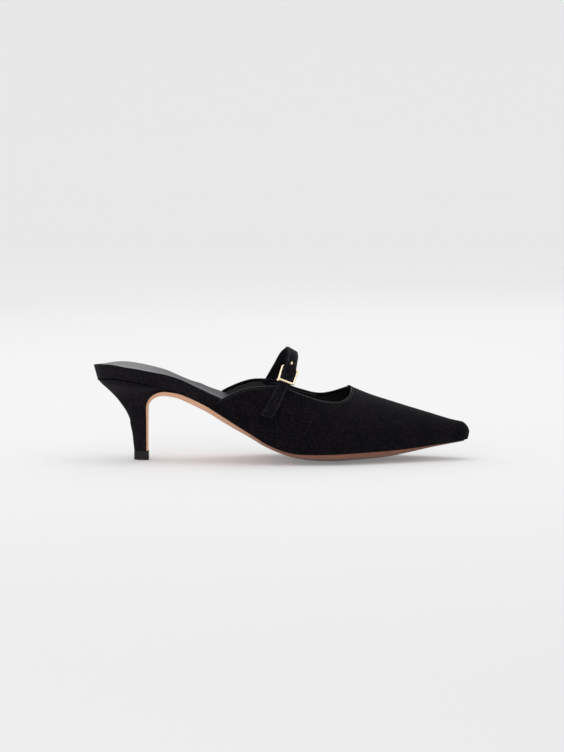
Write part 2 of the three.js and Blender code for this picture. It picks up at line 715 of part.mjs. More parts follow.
function buckleFrame() {
  const bevel = 0.3;
  const trim = 2 * bevel;
  const outline = roundedFrame(buckleWidth - trim, buckleHeight - trim, 1.1, THREE.Shape);
  const innerWidth = buckleWidth - 2 * buckleBar + trim;
  const innerHeight = buckleHeight - 2 * buckleBar + trim;
  outline.holes.push(roundedFrame(innerWidth, innerHeight, 0.8, THREE.Path));
  const frame = new THREE.ExtrudeGeometry(outline, {
    depth: buckleBar - trim,
    bevelThickness: bevel,
    bevelSize: bevel,
    bevelSegments: 1,
    curveSegments: 4,
  }).translate(0, 0, bevel - buckleBar / 2);
  const ball = new THREE.SphereGeometry(pinBallRadius, 10, 8).translate(
    -buckleWidth / 2 - pinBallRadius / 3,
    -buckleHeight / 2 + buckleBar / 3,
    0,
  );
  return geometryOf(manifoldOf(frame).add(manifoldOf(ball)));
}

// The prong starts behind the strap at the upper bar and comes out through the hole.
function buckleProng() {
  const round = (buckleBar + prongThickness) / 2 + clearance;
  const front = strapThickness / 2 + prongThickness / 4;
  const route = new THREE.CatmullRomCurve3([
    new THREE.Vector3(0, -round / 2, -barOffset - round),
    new THREE.Vector3(0, round / 2, -barOffset - round),
    new THREE.Vector3(0, prongReach, -barOffset),
    new THREE.Vector3(0, prongReach, 0),
    new THREE.Vector3(0, prongReach, front),
  ]);
  const wire = new THREE.Shape().absarc(0, 0, prongThickness / 2, 0, 2 * Math.PI);
  const stem = new THREE.ExtrudeGeometry(wire, {
    steps: 10,
    curveSegments: 8,
    bevelEnabled: false,
    extrudePath: route,
  });
  const tip = new THREE.SphereGeometry(0.5, 12, 8)
    .scale(prongThickness * 1.25, prongTipLength, prongThickness)
    .translate(0, prongReach, front + prongThickness / 3);
  return geometryOf(manifoldOf(stem).add(manifoldOf(tip)));
}

const shoe = new THREE.Group();
shoe.add(named("outsole", outsole(), tanLeather));
shoe.add(named("heel", heelBlock(), suede));
shoe.add(named("top_piece", topPiece(), topLift));
shoe.add(named("footbed", footbed(), suede));
shoe.add(named("sock", sock(), sockLeather));
shoe.add(named("upper", upper(), suede));
shoe.add(named("strap", strap(), suede));

const frameUp = upperBar.clone().sub(lowerBar).normalize();
const frameAcross = new THREE.Vector3().setFromMatrixColumn(strapFrame(lowerBarShare), 0);
const frameOut = frameAcross.clone().cross(frameUp).normalize();
const frameSide = frameUp.clone().cross(frameOut);
const framePlace = new THREE.Matrix4()
  .makeBasis(frameSide, frameUp, frameOut)
  .setPosition(lowerBar.clone().add(upperBar).multiplyScalar(0.5));
shoe.add(named("buckle_frame", buckleFrame().applyMatrix4(framePlace), paleGold));

const prongPlace = strapFrame(upperBarShare);
shoe.add(named("buckle_prong", buckleProng().applyMatrix4(prongPlace), paleGold));

// The part's origin is on the floor under the middle of the shoe's box.
const box = new THREE.Box3().setFromObject(shoe, true);
const middle = box.getCenter(new THREE.Vector3());
shoe.position.set(-middle.x, -middle.y, -box.min.z);

const part = new THREE.Group();
part.add(shoe);

export default part;
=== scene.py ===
import math

import bmesh
import bpy
from mathutils import Matrix, Vector


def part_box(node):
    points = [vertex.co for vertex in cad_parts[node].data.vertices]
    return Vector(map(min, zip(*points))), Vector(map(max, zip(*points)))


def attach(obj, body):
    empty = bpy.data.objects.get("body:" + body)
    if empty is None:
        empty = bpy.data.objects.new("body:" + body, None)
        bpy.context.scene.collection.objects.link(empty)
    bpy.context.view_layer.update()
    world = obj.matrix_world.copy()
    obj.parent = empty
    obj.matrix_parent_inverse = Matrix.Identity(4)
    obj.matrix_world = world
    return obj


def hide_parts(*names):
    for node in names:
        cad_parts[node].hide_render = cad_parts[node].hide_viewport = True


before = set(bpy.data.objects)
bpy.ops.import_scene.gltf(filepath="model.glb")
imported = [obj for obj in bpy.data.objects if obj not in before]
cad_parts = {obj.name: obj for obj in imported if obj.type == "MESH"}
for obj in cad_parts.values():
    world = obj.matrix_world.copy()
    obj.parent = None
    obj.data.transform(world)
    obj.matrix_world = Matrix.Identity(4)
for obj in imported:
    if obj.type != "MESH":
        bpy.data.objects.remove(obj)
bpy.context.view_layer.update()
scene = bpy.context.scene
inward, upward = Vector((0, 1, 0)), Vector((0, 0, 1))

# Sizes of the last and its layers, in millimetres
last = {
    "soleLength": 249.9,
    "ballWidth": 78.6,
    "seatWidth": 48,
    "waistWidth": 38,
    "toeWidth": 12.4,
    "seatRadius": 23,
    "bedTaper": 2.6,
    "noseLength": 5.5,
    "noseLift": 3.3,
    "noseTuck": 1.1,
    "noseGirth": 0.2,
    "noseOut": 0.95,
    "noseOutAt": 0.955,
    "heelHeight": 55,
    "toeSpring": 6.3,
    "ballCrown": 3.7,
    "instepHeight": 68.2,
    "crestOffset": 5,
    "toeSwing": 3,
    "toeSwingAt": 0.55,
    "feltTuck": 0.8,
    "wall": 1.6,
    "gap": 0.3,
    "soleThickness": 3.3,
    "bedThickness": 8.9,
    "bedSetback": 9,
    "soleSetback": 2.4,
    "soleTrim": 0.4,
}

# at, width followed, outer half, inner half
planRows = [
    (0, "seatWidth", 0.47, 0.47),
    (0.05, "seatWidth", 0.485, 0.485),
    (0.1, "seatWidth", 0.502, 0.498),
    (0.15, "seatWidth", 0.5, 0.48),
    (0.195, "seatWidth", 0.462, 0.41),
    (0.235, "waistWidth", 0.545, 0.455),
    (0.265, "waistWidth", 0.55, 0.46),
    (0.297, "waistWidth", 0.605, 0.53),
    (0.337, "ballWidth", 0.345, 0.308),
    (0.38, "ballWidth", 0.395, 0.352),
    (0.44, "ballWidth", 0.446, 0.402),
    (0.5, "ballWidth", 0.48, 0.446),
    (0.56, "ballWidth", 0.5, 0.481),
    (0.613, "ballWidth", 0.504, 0.496),
    (0.66, "ballWidth", 0.487, 0.496),
    (0.713, "ballWidth", 0.442, 0.468),
    (0.769, "ballWidth", 0.374, 0.415),
    (0.833, "ballWidth", 0.287, 0.335),
    (0.897, "ballWidth", 0.199, 0.243),
    (0.953, "ballWidth", 0.126, 0.156),
    (1, "toeWidth", 0.46, 0.54),
]

# at, sole line, seat line, depth of the footbed
archRows = [
    (0, 0.73, 0.838, 1.04),
    (0.045, 0.73, 0.872, 1.01),
    (0.1, 0.73, 0.85, 1.02),
    (0.15, 0.73, 0.807, 1.03),
    (0.19, 0.728, 0.768, 1),
    (0.23, 0.699, 0.708, 0.92),
    (0.257, 0.653, 0.654, 0.95),
    (0.284, 0.597, 0.597, 1.06),
    (0.31, 0.537, 0.537, 1.13),
    (0.34, 0.457, 0.457, 1.3),
    (0.38, 0.347, 0.347, 1.38),
    (0.42, 0.24, 0.24, 1.34),
    (0.457, 0.136, 0.136, 1.24),
    (0.5, 0.052, 0.052, 1),
    (0.537, 0.01, 0.01, 0.74),
    (0.577, 0, 0, 0.56),
    (0.633, 0, 0, 0.49),
    (1, 0, 0, 0.45),
]

# at, rise towards the toe
springRows = [
    (0, 0), (0.633, 0), (0.685, 0.06), (0.738, 0.14), (0.792, 0.21),
    (0.845, 0.35), (0.898, 0.56), (0.952, 0.8), (1, 1.05),
]

# at, crown below the edges, thickness
soleRows = [
    (0, 0, 0.95),
    (0.2, 0, 0.97),
    (0.26, 0.02, 1.16),
    (0.3, 0.1, 1.08),
    (0.35, 0.24, 1),
    (0.4, 0.35, 0.78),
    (0.46, 0.5, 0.6),
    (0.52, 0.72, 0.62),
    (0.58, 0.95, 0.9),
    (0.64, 1, 1.09),
    (0.69, 0.97, 1.06),
    (0.77, 0.8, 0.98),
    (0.845, 0.5, 0.62),
    (0.9, 0.3, 0.36),
    (1, 0.15, 0.13),
]

# at, crest, lean, ridge, shoulder
sectionRows = [
    (0.3, 1, 0.6, 1.12, 1),
    (0.4, 1, 0.8, 1.14, 1),
    (0.465, 0.99, 1, 1.16, 1),
    (0.5, 0.957, 1, 1.18, 1),
    (0.533, 0.9, 1, 1.2, 1),
    (0.56, 0.846, 1, 1.2, 1),
    (0.6, 0.761, 1, 1.2, 1),
    (0.64, 0.685, 0.95, 1.2, 1),
    (0.686, 0.603, 0.9, 1.18, 0.99),
    (0.738, 0.517, 0.8, 1.14, 0.97),
    (0.792, 0.447, 0.65, 1.1, 0.95),
    (0.845, 0.373, 0.5, 1.06, 0.92),
    (0.898, 0.296, 0.3, 1.02, 0.9),
    (0.952, 0.214, 0.15, 1, 0.88),
    (1, 0.152, 0, 1, 0.86),
]


def lerp(a, b, t):
    return a + (b - a) * t


def clamp(value, low, high):
    return max(low, min(high, value))


def smoothstep(value, low, high):
    t = clamp((value - low) / (high - low), 0, 1)
    return t * t * (3 - 2 * t)


# A smooth curve through the values of a table, flat in curvature at its ends
class Curve:
    def __init__(self, places, values):
        self.places = list(places)
        self.values = list(values)

    def __call__(self, t):
        places, values = self.places, self.values
        t = clamp(t, places[0], places[-1])
        i = 1
        while i < len(places) - 1 and t >= places[i]:
            i += 1
        t0, t1 = places[i - 1], places[i]
        before, tBefore = (i - 2, places[i - 2]) if i > 1 else (i, t1)
        after, tAfter = (i + 1, places[i + 1]) if i + 1 < len(places) else (i - 1, t0)
        half = (t1 - t0) / 2
        wBefore, wAfter = half / (t0 - tBefore), half / (tAfter - t1)
        p = (t - t0) / (t1 - t0)
        pp, ppp = p * p, p * p * p
        sBefore = wBefore * (2 * pp - ppp - p)
        s0 = (1 + wBefore) * ppp - (1.5 + 2 * wBefore) * pp + (wBefore - 0.5) * p + 1
        s1 = (1.5 + wAfter) * pp - (1 + wAfter) * ppp + 0.5 * p
        sAfter = wAfter * (ppp - pp)
        return (
            values[before] * sBefore + values[i - 1] * s0 + values[i] * s1 + values[after] * sAfter
        )


def column(rows, index):
    return Curve([row[0] for row in rows], [row[index] for row in rows])


outerHalf = Curve([row[0] for row in planRows], [last[row[1]] * row[2] for row in planRows])
innerHalf = Curve([row[0] for row in planRows], [last[row[1]] * row[3] for row in planRows])
soleShare, seatShare, depthShare = (column(archRows, i) for i in (1, 2, 3))
springShare = column(springRows, 1)
crownShare, thickShare = (column(soleRows, i) for i in (1, 2))
crestShare, leanShare, ridgePower, shoulderPower = (column(sectionRows, i) for i in (1, 2, 3, 4))

soleLength = last["soleLength"]
treadLine = last["soleThickness"] + last["ballCrown"] + last["gap"]


def springLine(x):
    return last["toeSpring"] * springShare(x / soleLength)


def soleLine(x):
    return treadLine + last["heelHeight"] * soleShare(x / soleLength) + springLine(x)


def seatLine(x):
    return treadLine + last["heelHeight"] * seatShare(x / soleLength) + springLine(x)


def bedTop(x):
    return seatLine(x) + last["bedThickness"] * depthShare(x / soleLength)


noseHeight = soleLine(soleLength) + last["noseLift"]


def plainHalf(x, side):
    return outerHalf(x / soleLength) if side < 0 else innerHalf(x / soleLength)


def swing(x):
    return last["toeSwing"] * smoothstep(x / soleLength, last["toeSwingAt"], 1)


# 1 along the shoe, falling in a quarter round to 0 at its back and at its front
def closing(x, back, backRadius, front, frontRadius):
    behind = clamp((back + backRadius - x) / backRadius, 0, 1)
    ahead = clamp((x - front + frontRadius) / frontRadius, 0, 1)
    return math.sqrt(1 - behind**2) * math.sqrt(1 - ahead**2)


def crownDrop(x, y, side):
    across = clamp(y / plainHalf(x, side), -1, 1)
    return last["ballCrown"] * crownShare(x / soleLength) * (1 - across**2)


def underNose(girth):
    return max(0, 1 - girth / last["noseGirth"])


def noseReach(girth):
    return soleLength - last["noseTuck"] * underNose(girth) ** 2


# A point of the last's skin: girth runs from 0 at the sole line to 1 at the crest
def lastPoint(x, girth, side):
    share = x / soleLength
    close = closing(x, 0, last["seatRadius"], noseReach(girth), last["noseLength"])
    crest = last["crestOffset"] * leanShare(share) * close
    turn = girth * math.pi / 2
    reach = plainHalf(x, side) * close - side * crest
    rounding = 4 * math.sqrt(girth) * (1 - math.sqrt(girth))
    out = reach * max(math.cos(turn), 0) ** ridgePower(share) + last["feltTuck"] * close * rounding
    nose = lerp(noseHeight, soleLine(x), underNose(girth))
    foot = lerp(nose, soleLine(x), close)
    head = lerp(nose, soleLine(x) + last["instepHeight"] * crestShare(share), close)
    height = lerp(foot, head, math.sin(turn) ** shoulderPower(share))
    ahead = last["noseOut"] * smoothstep(share, last["noseOutAt"], 1)
    return Vector((x + ahead, swing(x) + crest + side * out, height))


def girthAt(x, rise):
    return 2 / math.pi * math.asin(clamp(rise, 0, 1) ** (1 / shoulderPower(x / soleLength)))


def lastNormal(x, girth, side):
    here = lastPoint(x, girth, side)
    ahead = lastPoint(x + 0.5, girth, side) - here
    up = lastPoint(x, min(girth + 0.01, 1), side) - lastPoint(x, girth - 0.01, side)
    return (ahead.cross(up) * -side).normalized()


# A smooth line through points, read by share of its length
class Line:
    def __init__(self, points, samples=600):
        places = [0]
        for a, b in zip(points, points[1:]):
            places.append(places[-1] + math.sqrt((b - a).length))
        self.runs = [Curve(places, [p[i] for p in points]) for i in range(len(points[0]))]
        self.steps = [places[-1] * k / samples for k in range(samples + 1)]
        self.reach = [0]
        spots = [self.spot(t) for t in self.steps]
        for a, b in zip(spots, spots[1:]):
            self.reach.append(self.reach[-1] + (b - a).length)
        self.length = self.reach[-1]

    def spot(self, t):
        return Vector([run(t) for run in self.runs])

    def step(self, share):
        want = clamp(share, 0, 1) * self.length
        low, high = 0, len(self.reach) - 1
        while high - low > 1:
            middle = (low + high) // 2
            low, high = (middle, high) if self.reach[middle] <= want else (low, middle)
        part = (want - self.reach[low]) / max(self.reach[high] - self.reach[low], 1e-9)
        return lerp(self.steps[low], self.steps[high], part)

    def at(self, share):
        return self.spot(self.step(share))

    def heading(self, share):
        low, high = clamp(share - 0.002, 0, 1), clamp(share + 0.002, 0, 1)
        return (self.at(high) - self.at(low)).normalized()


# From the last's own place to the frame: the footbed's rear end and the heel's middle
heelLow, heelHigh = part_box("top_piece")
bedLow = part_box("footbed")[0]
shift = Vector((bedLow[0], (heelLow[1] + heelHigh[1]) / 2, 0))


def toFrame(spot):
    return Vector(spot) * 0.001 + shift


print("last ready, shift", tuple(round(n, 4) for n in shift))


# Mesh helpers: place turns the shares u and v, and the layer of a slab, into millimetres
def sheetOf(uSteps, vSteps, place):
    bm = bmesh.new()
    bmesh.ops.create_grid(bm, x_segments=uSteps, y_segments=vSteps, size=0.5)
    for vert in bm.verts:
        vert.co = toFrame(place(vert.co.x + 0.5, vert.co.y + 0.5))
    return bm


def slabOf(uSteps, vSteps, place):
    bm = bmesh.new()
    bmesh.ops.create_grid(bm, x_segments=uSteps, y_segments=vSteps, size=0.5)
    grown = bmesh.ops.extrude_face_region(bm, geom=bm.faces[:])
    raised = [item for item in grown["geom"] if isinstance(item, bmesh.types.BMVert)]
    bmesh.ops.translate(bm, verts=raised, vec=(0, 0, 1))
    for vert in bm.verts:
        vert.co = toFrame(place(vert.co.x + 0.5, vert.co.y + 0.5, round(vert.co.z)))
    return closedUp(bm)


# A tube: one share runs along it and the other round it, and flat caps close its ends
def tubeOf(uSteps, vSteps, place):
    bm = sheetOf(uSteps, vSteps, place)
    bmesh.ops.remove_doubles(bm, verts=bm.verts, dist=2e-6)
    ends = [edge for edge in bm.edges if edge.is_boundary]
    if ends:
        bmesh.ops.holes_fill(bm, edges=ends, sides=0)
    return closedUp(bm)


# A point of a ring round a place, v round it from side towards other
def ringPoint(place, side, other, v, radius):
    turn = v * 2 * math.pi
    return place + (side * math.cos(turn) + other * math.sin(turn)) * radius


def closedUp(bm):
    bmesh.ops.remove_doubles(bm, verts=bm.verts, dist=2e-6)
    bmesh.ops.dissolve_degenerate(bm, edges=bm.edges, dist=1e-7)
    bmesh.ops.recalc_face_normals(bm, faces=bm.faces)
    return bm


# A small ball, stretched to the length of each of its three axes
def addBall(bm, centre, axes, around=20, rings=14):
    made = bmesh.ops.create_uvsphere(bm, u_segments=around, v_segments=rings, radius=0.5)
    turn = Matrix([axis * 0.001 for axis in axes]).transposed().to_4x4()
    turn.translation = toFrame(centre)
    bmesh.ops.transform(bm, matrix=turn, verts=made["verts"])


def objectOf(name, bm, finishes):
    mesh = bpy.data.meshes.new(name)
    bm.to_mesh(mesh)
    bm.free()
    for finish in finishes:
        mesh.materials.append(finish)
    mesh.shade_smooth()
    made = bpy.data.objects.new(name, mesh)
    scene.collection.objects.link(made)
    return made


def pieceOf(name, bm, finishes, replaced=(), sharp=40):
    piece = objectOf(name, bm, finishes)
    piece.data.set_sharp_from_angle(angle=math.radians(sharp))
    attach(piece, "root")
    if replaced:
        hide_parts(*replaced)
    print("made", name, len(piece.data.polygons), "faces")
    return piece


def rounded(piece, width, segments=2, angle=40):
    bevel = piece.modifiers.new("edges", "BEVEL")
    bevel.width = width * 0.001
    bevel.segments = segments
    bevel.limit_method = "ANGLE"
    bevel.angle_limit = math.radians(angle)


# Shader maths: a Value holds an output socket, and sums on it add Math nodes
class Value:
    def __init__(self, paint, socket):
        self.paint = paint
        self.socket = socket

    def maths(self, operation, first, second):
        node = self.paint.node("ShaderNodeMath", {"operation": operation}, {0: first, 1: second})
        return Value(self.paint, node.outputs[0])

    def __add__(self, other):
        return self.maths("ADD", self, other)

    def __sub__(self, other):
        return self.maths("SUBTRACT", self, other)

    def __rsub__(self, other):
        return self.maths("SUBTRACT", other, self)

    def __mul__(self, other):
        return self.maths("MULTIPLY", self, other)

    __radd__ = __add__
    __rmul__ = __mul__


class Paint:
    def __init__(self, name, **constants):
        self.material = bpy.data.materials.new(name)
        self.material.use_nodes = True
        self.tree = self.material.node_tree
        self.shader = self.tree.nodes["Principled BSDF"]
        for key, value in constants.items():
            self.shader.inputs[key.replace("_", " ")].default_value = value

    # A node of one type, with its settings and the values or links of its sockets
    def node(self, kind, settings, sockets):
        node = self.tree.nodes.new(kind)
        for key, value in settings.items():
            if key == "stops":
                ramp = node.color_ramp
                while len(ramp.elements) < len(value):
                    ramp.elements.new(0.5)
                for element, (place, shade) in zip(ramp.elements, value):
                    element.position = place
                    element.color = (*shade, 1)
            else:
                setattr(node, key, value)
        for key, value in sockets.items():
            if isinstance(value, Value):
                self.tree.links.new(value.socket, node.inputs[key])
            else:
                node.inputs[key].default_value = value
        return node

    def place(self):
        return Value(self, self.node("ShaderNodeTexCoord", {}, {}).outputs["Object"])

    def stretched(self, scale):
        sockets = {"Vector": self.place(), "Scale": scale}
        return Value(self, self.node("ShaderNodeMapping", {}, sockets).outputs[0])

    def noise(self, scale, detail=3, rough=0.55, vector=None, **more):
        sockets = {"Vector": vector or self.place(), "Scale": scale, "Detail": detail}
        sockets.update({"Roughness": rough}, **more)
        return Value(self, self.node("ShaderNodeTexNoise", {}, sockets).outputs["Fac"])

    def cells(self, scale):
        sockets = {"Vector": self.place(), "Scale": scale}
        node = self.node("ShaderNodeTexVoronoi", {"feature": "F1"}, sockets)
        return Value(self, node.outputs["Distance"])

    # One axis of the object's own place, in metres
    def axis(self, index):
        return Value(self, self.node("ShaderNodeSeparateXYZ", {}, {0: self.place()}).outputs[index])

    # 0 at one value and 1 at the other, eased between them
    def span(self, value, low, high):
        sockets = {"Value": value, "From Min": low, "From Max": high}
        node = self.node("ShaderNodeMapRange", {"interpolation_type": "SMOOTHSTEP"}, sockets)
        return Value(self, node.outputs[0])

    def ramp(self, value, stops):
        node = self.node("ShaderNodeValToRGB", {"stops": stops}, {"Fac": value})
        return Value(self, node.outputs["Color"])

    def mix(self, share, first, second):
        sockets = {"Factor": share, 6: first, 7: second}  # 6 and 7 are its two colours
        return Value(self, self.node("ShaderNodeMix", {"data_type": "RGBA"}, sockets).outputs[2])

    def feed(self, key, value):
        self.tree.links.new(value.socket, self.shader.inputs[key])

    def bump(self, height, strength, distance):
        sockets = {"Height": height, "Strength": strength, "Distance": distance}
        node = self.node("ShaderNodeBump", {}, sockets)
        self.feed("Normal", Value(self, node.outputs[0]))


def grey(level):
    return (level, level, level, 1)


# Black suede: short nap, small brushed marks and larger soft clouds, in marks per metre
suedeFinish = {
    "nap": 1500,
    "flecks": 1150,
    "clouds": 75,
    "middle": 0.17,
    "gloss": {
        "Roughness": 0.95,
        "Specular_IOR_Level": 0.05,
        "Sheen_Weight": 0.028,
        "Sheen_Roughness": 0.5,
        "Sheen_Tint": (0.95, 0.87, 1, 1),
    },
}


def makeSuede(name, dark, light):
    suede = Paint(name, **suedeFinish["gloss"])
    nap = suede.noise(suedeFinish["nap"], detail=5, rough=0.75)
    flecks = suede.noise(suedeFinish["flecks"], detail=3, rough=0.6)
    clouds = suede.noise(suedeFinish["clouds"], detail=3, rough=0.6, Distortion=0.8)
    shade = nap * 0.45 + flecks * 0.43 + clouds * 0.12
    middle = tuple(lerp(a, b, suedeFinish["middle"]) for a, b in zip(dark, light))
    suede.feed("Base Color", suede.ramp(shade, [(0.4, dark), (0.5, middle), (0.62, light)]))
    suede.feed("Roughness", 0.84 + nap * 0.16)
    suede.bump(nap * 0.55 + flecks * 0.45, 0.8, 0.0005)
    return suede.material


suede = makeSuede("suede", (0.0006, 0.0004, 0.0008), (0.015, 0.0125, 0.0162))
strapSuede = makeSuede("strap suede", (0.001, 0.0008, 0.0013), (0.0235, 0.0203, 0.0255))
heelSuede = makeSuede("heel suede", (0.003, 0.0025, 0.0033), (0.0225, 0.0197, 0.0238))


# Smooth leather and rubber: small cells of grain, in cells per metre, over soft clouds
def makeLeather(name, dark, light, grain=1600, bump=0.2, **constants):
    leather = Paint(name, **constants)
    cells = leather.cells(grain)
    fine = leather.noise(grain * 1.7, detail=3)
    clouds = leather.noise(38, detail=3, rough=0.5)
    leather.feed("Base Color", leather.mix(clouds * 0.7 + fine * 0.3, (*dark, 1), (*light, 1)))
    leather.feed("Roughness", leather.noise(120, detail=2) * 0.16 + (constants["Roughness"] - 0.08))
    leather.bump(cells * 0.6 + fine * 0.4, bump, 0.00012)
    return leather.material


# Lining: grey in the wings, almost black towards the toe, where it is painted shade inside the vamp
def makeLining():
    lining = Paint("lining leather", Roughness=0.42)
    fine = lining.noise(2200, detail=3)
    forward = lining.span(lining.axis(0), -0.022, 0.012)
    wings = lining.mix(fine, (0.024, 0.0235, 0.026, 1), (0.042, 0.041, 0.045, 1))
    # Painted shade: darker towards the toe
    lining.feed("Base Color", lining.mix(forward, wings, (0.013, 0.0125, 0.0145, 1)))
    lining.feed("Roughness", 0.36 + fine * 0.14)
    lining.bump(fine, 0.15, 0.0001)
    return lining.material


# Sock: smooth charcoal leather, darker towards the toe as painted shade
def makeSock():
    sock = Paint("sock leather", Roughness=0.4, Specular_IOR_Level=0.12, Coat_Roughness=0.3)
    fine = sock.noise(2400, detail=3)
    clouds = sock.noise(40, detail=2)
    forward = sock.span(sock.axis(0), -0.115, -0.045)
    rear = sock.mix(clouds, (0.048, 0.047, 0.054, 1), (0.064, 0.063, 0.072, 1))
    # Painted shade: the sock darker towards the toe
    sock.feed("Base Color", sock.mix(forward, rear, (0.037, 0.036, 0.043, 1)))
    rim = sock.span(sock.axis(1) * -1, 0.012, 0.024)
    # More coat along the near rim, for a painted highlight there
    sock.feed("Coat Weight", (1 - forward) * 0.16 + rim * 0.3 + clouds * 0.06)
    sock.feed("Roughness", 0.37 + forward * 0.16 + fine * 0.1)
    sock.bump(fine, 0.12, 0.0001)
    return sock.material


sockLeather = makeSock()
lining = makeLining()
# A paler leather for a line of painted highlight along the topline's rim
toplineHighlight = makeLeather("topline highlight", (0.016, 0.0155, 0.0175), (0.036, 0.0345, 0.038), Roughness=0.6)
# Near black, for a line of painted shade in the crease between the band and the heel
creaseShade = makeLeather(
    "crease shade", (0.0008, 0.0007, 0.0009), (0.002, 0.0018, 0.0022), 1800, Roughness=0.95, Specular_IOR_Level=0.02
)
liningEdge = makeLeather("lining edge", (0.02, 0.0195, 0.022), (0.036, 0.035, 0.039), Roughness=0.5)
# A pale leather for a line of painted highlight along the sock's rim
sockRimHighlight = makeLeather("sock rim highlight", (0.17, 0.168, 0.18), (0.3, 0.297, 0.31), Roughness=0.5)
topLift = makeLeather(
    "top piece rubber", (0.004, 0.0036, 0.0043), (0.009, 0.0082, 0.0095), 2200, 0.25,
    Roughness=0.5, Specular_IOR_Level=0.25
)


# Tan sole leather from deep to pale, on the arch and on the tread, with the share where each tone stands
tanTones = {
    "at": (0.3, 0.52, 0.75),
    "arch": [(0.47, 0.235, 0.135), (0.62, 0.335, 0.2), (0.72, 0.42, 0.265)],
    # Darker tones for the tread: painted shade on the forepart, which faces down
    "shadedTread": [(0.11, 0.034, 0.0145), (0.165, 0.054, 0.024), (0.25, 0.088, 0.04)],
    # Painted shade where the sole's edge turns under near the floor
    "floorShade": (0.035, 0.014, 0.009, 1),
    "toe": (0.012, 0.008, 0.008, 1),
}


def makeTan():
    tan = Paint("tan sole leather", Roughness=0.46, Coat_Weight=0.12, Coat_Roughness=0.3)
    fibres = tan.noise(420, detail=4, rough=0.65, vector=tan.stretched((0.12, 1, 1)))
    layers = tan.noise(900, detail=2, vector=tan.stretched((0.05, 0.3, 2.2)))
    clouds = tan.noise(30, detail=3)
    shade = fibres * 0.4 + layers * 0.3 + clouds * 0.3
    arch = tan.ramp(shade, list(zip(tanTones["at"], tanTones["arch"])))
    shadedTread = tan.ramp(shade, list(zip(tanTones["at"], tanTones["shadedTread"])))
    # Painted shade: the tread darkens towards the floor
    shadedTread = tan.mix(tan.span(tan.axis(2), 0.0008, 0.0042), tanTones["floorShade"], shadedTread)
    # Painted shade: the forepart takes the darker tread tones
    sole = tan.mix(tan.span(tan.axis(0), -0.052, 0.006), arch, shadedTread)
    toe = tan.span(tan.axis(0), 0.1, 0.118)
    tan.feed("Base Color", tan.mix(toe * 0.9, sole, tanTones["toe"]))
    tan.feed("Roughness", 0.38 + fibres * 0.16)
    tan.bump(fibres * 0.6 + layers * 0.4, 0.25, 0.0002)
    return tan.material


# Polished buckle metal with fine wear
def makeGold():
    gold = Paint("pale gold", Metallic=1, Roughness=0.16)
    wear = gold.noise(700, detail=3)
    gold.feed("Base Color", gold.mix(wear, (0.9, 0.72, 0.47, 1), (0.98, 0.84, 0.62, 1)))
    gold.feed("Roughness", 0.12 + wear * 0.12)
    gold.bump(gold.noise(1500, detail=2), 0.05, 0.0001)
    return gold.material


# Dark waxed thread
def makeThread():
    thread = Paint("thread", Roughness=0.7, Sheen_Weight=0.2)
    twist = thread.noise(4000, detail=2)
    thread.feed("Base Color", thread.mix(twist, grey(0.008), grey(0.024)))
    thread.bump(twist, 0.3, 0.0001)
    return thread.material


tanLeather = makeTan()
paleGold = makeGold()
thread = makeThread()
print("finishes ready")

# Upper: vamp and wings, their topline and its stitches
upperSizes = {
    "wingStart": 77.6,
    "throatReach": 171.4,
    "toplineHeight": 41.2,
    "around": 300,
    "up": 44,
    "turnOver": 2.2,
    "stitchInset": 1.5,
    "stitchPitch": 1.9,
    "stitch": (1.3, 0.36, 0.3),
}

# reach, rise
outerTopline = [
    (0, 0.045), (0.075, 0.25), (0.146, 0.434), (0.218, 0.604), (0.306, 0.77),
    (0.415, 0.938), (0.497, 1), (0.564, 0.998), (0.677, 0.922), (0.783, 0.844),
    (0.879, 0.806), (0.943, 0.822), (0.985, 0.88), (1.002, 0.95), (1, 1),
]
innerTopline = [
    (0, 0.045), (0.075, 0.275), (0.146, 0.455), (0.218, 0.618), (0.3, 0.775),
    (0.38, 0.893), (0.45, 0.95), (0.54, 0.955), (0.64, 0.912), (0.73, 0.86),
    (0.8, 0.848), (0.87, 0.88), (0.93, 0.93), (0.975, 0.975), (1, 1),
]


def toplineOf(rows):
    start, end = upperSizes["wingStart"], upperSizes["throatReach"]
    return Line([Vector((lerp(start, end, r), h * upperSizes["toplineHeight"])) for r, h in rows])


toplines = {-1: toplineOf(outerTopline), 1: toplineOf(innerTopline)}


def upperSkin(u, v):
    side = -1 if u < 0.5 else 1
    toward = 1 - abs(2 * u - 1)
    rest = 1 - toward
    edge = toplines[side].at(1 - lerp(rest**2.6, rest, 0.25))
    crest = last["instepHeight"] * crestShare(edge.x / soleLength)
    edgeGirth = lerp(girthAt(edge.x, edge.y / crest), 1, smoothstep(toward, 0.9, 1))
    start = lerp(toward, math.sin(toward * math.pi / 2), 0.65)
    girth = 0 if v <= 0 else edgeGirth * v / (v + rest * (1 - v))
    foot = lerp(upperSizes["wingStart"], noseReach(girth), start)
    x = lerp(foot, edge.x, clamp(v, 0, 1) ** (1 + 0.8 * toward))
    return lastPoint(x, girth, side)


# The skin's point, its outward direction, and its headings along u and up v
def upperSpot(u, v):
    here = upperSkin(u, v)
    along = upperSkin(min(u + 0.002, 1), v) - upperSkin(max(u - 0.002, 0), v)
    up = upperSkin(u, min(v + 0.01, 1)) - upperSkin(u, max(v - 0.01, 0))
    return here, along.cross(up).normalized(), along.normalized(), up.normalized()


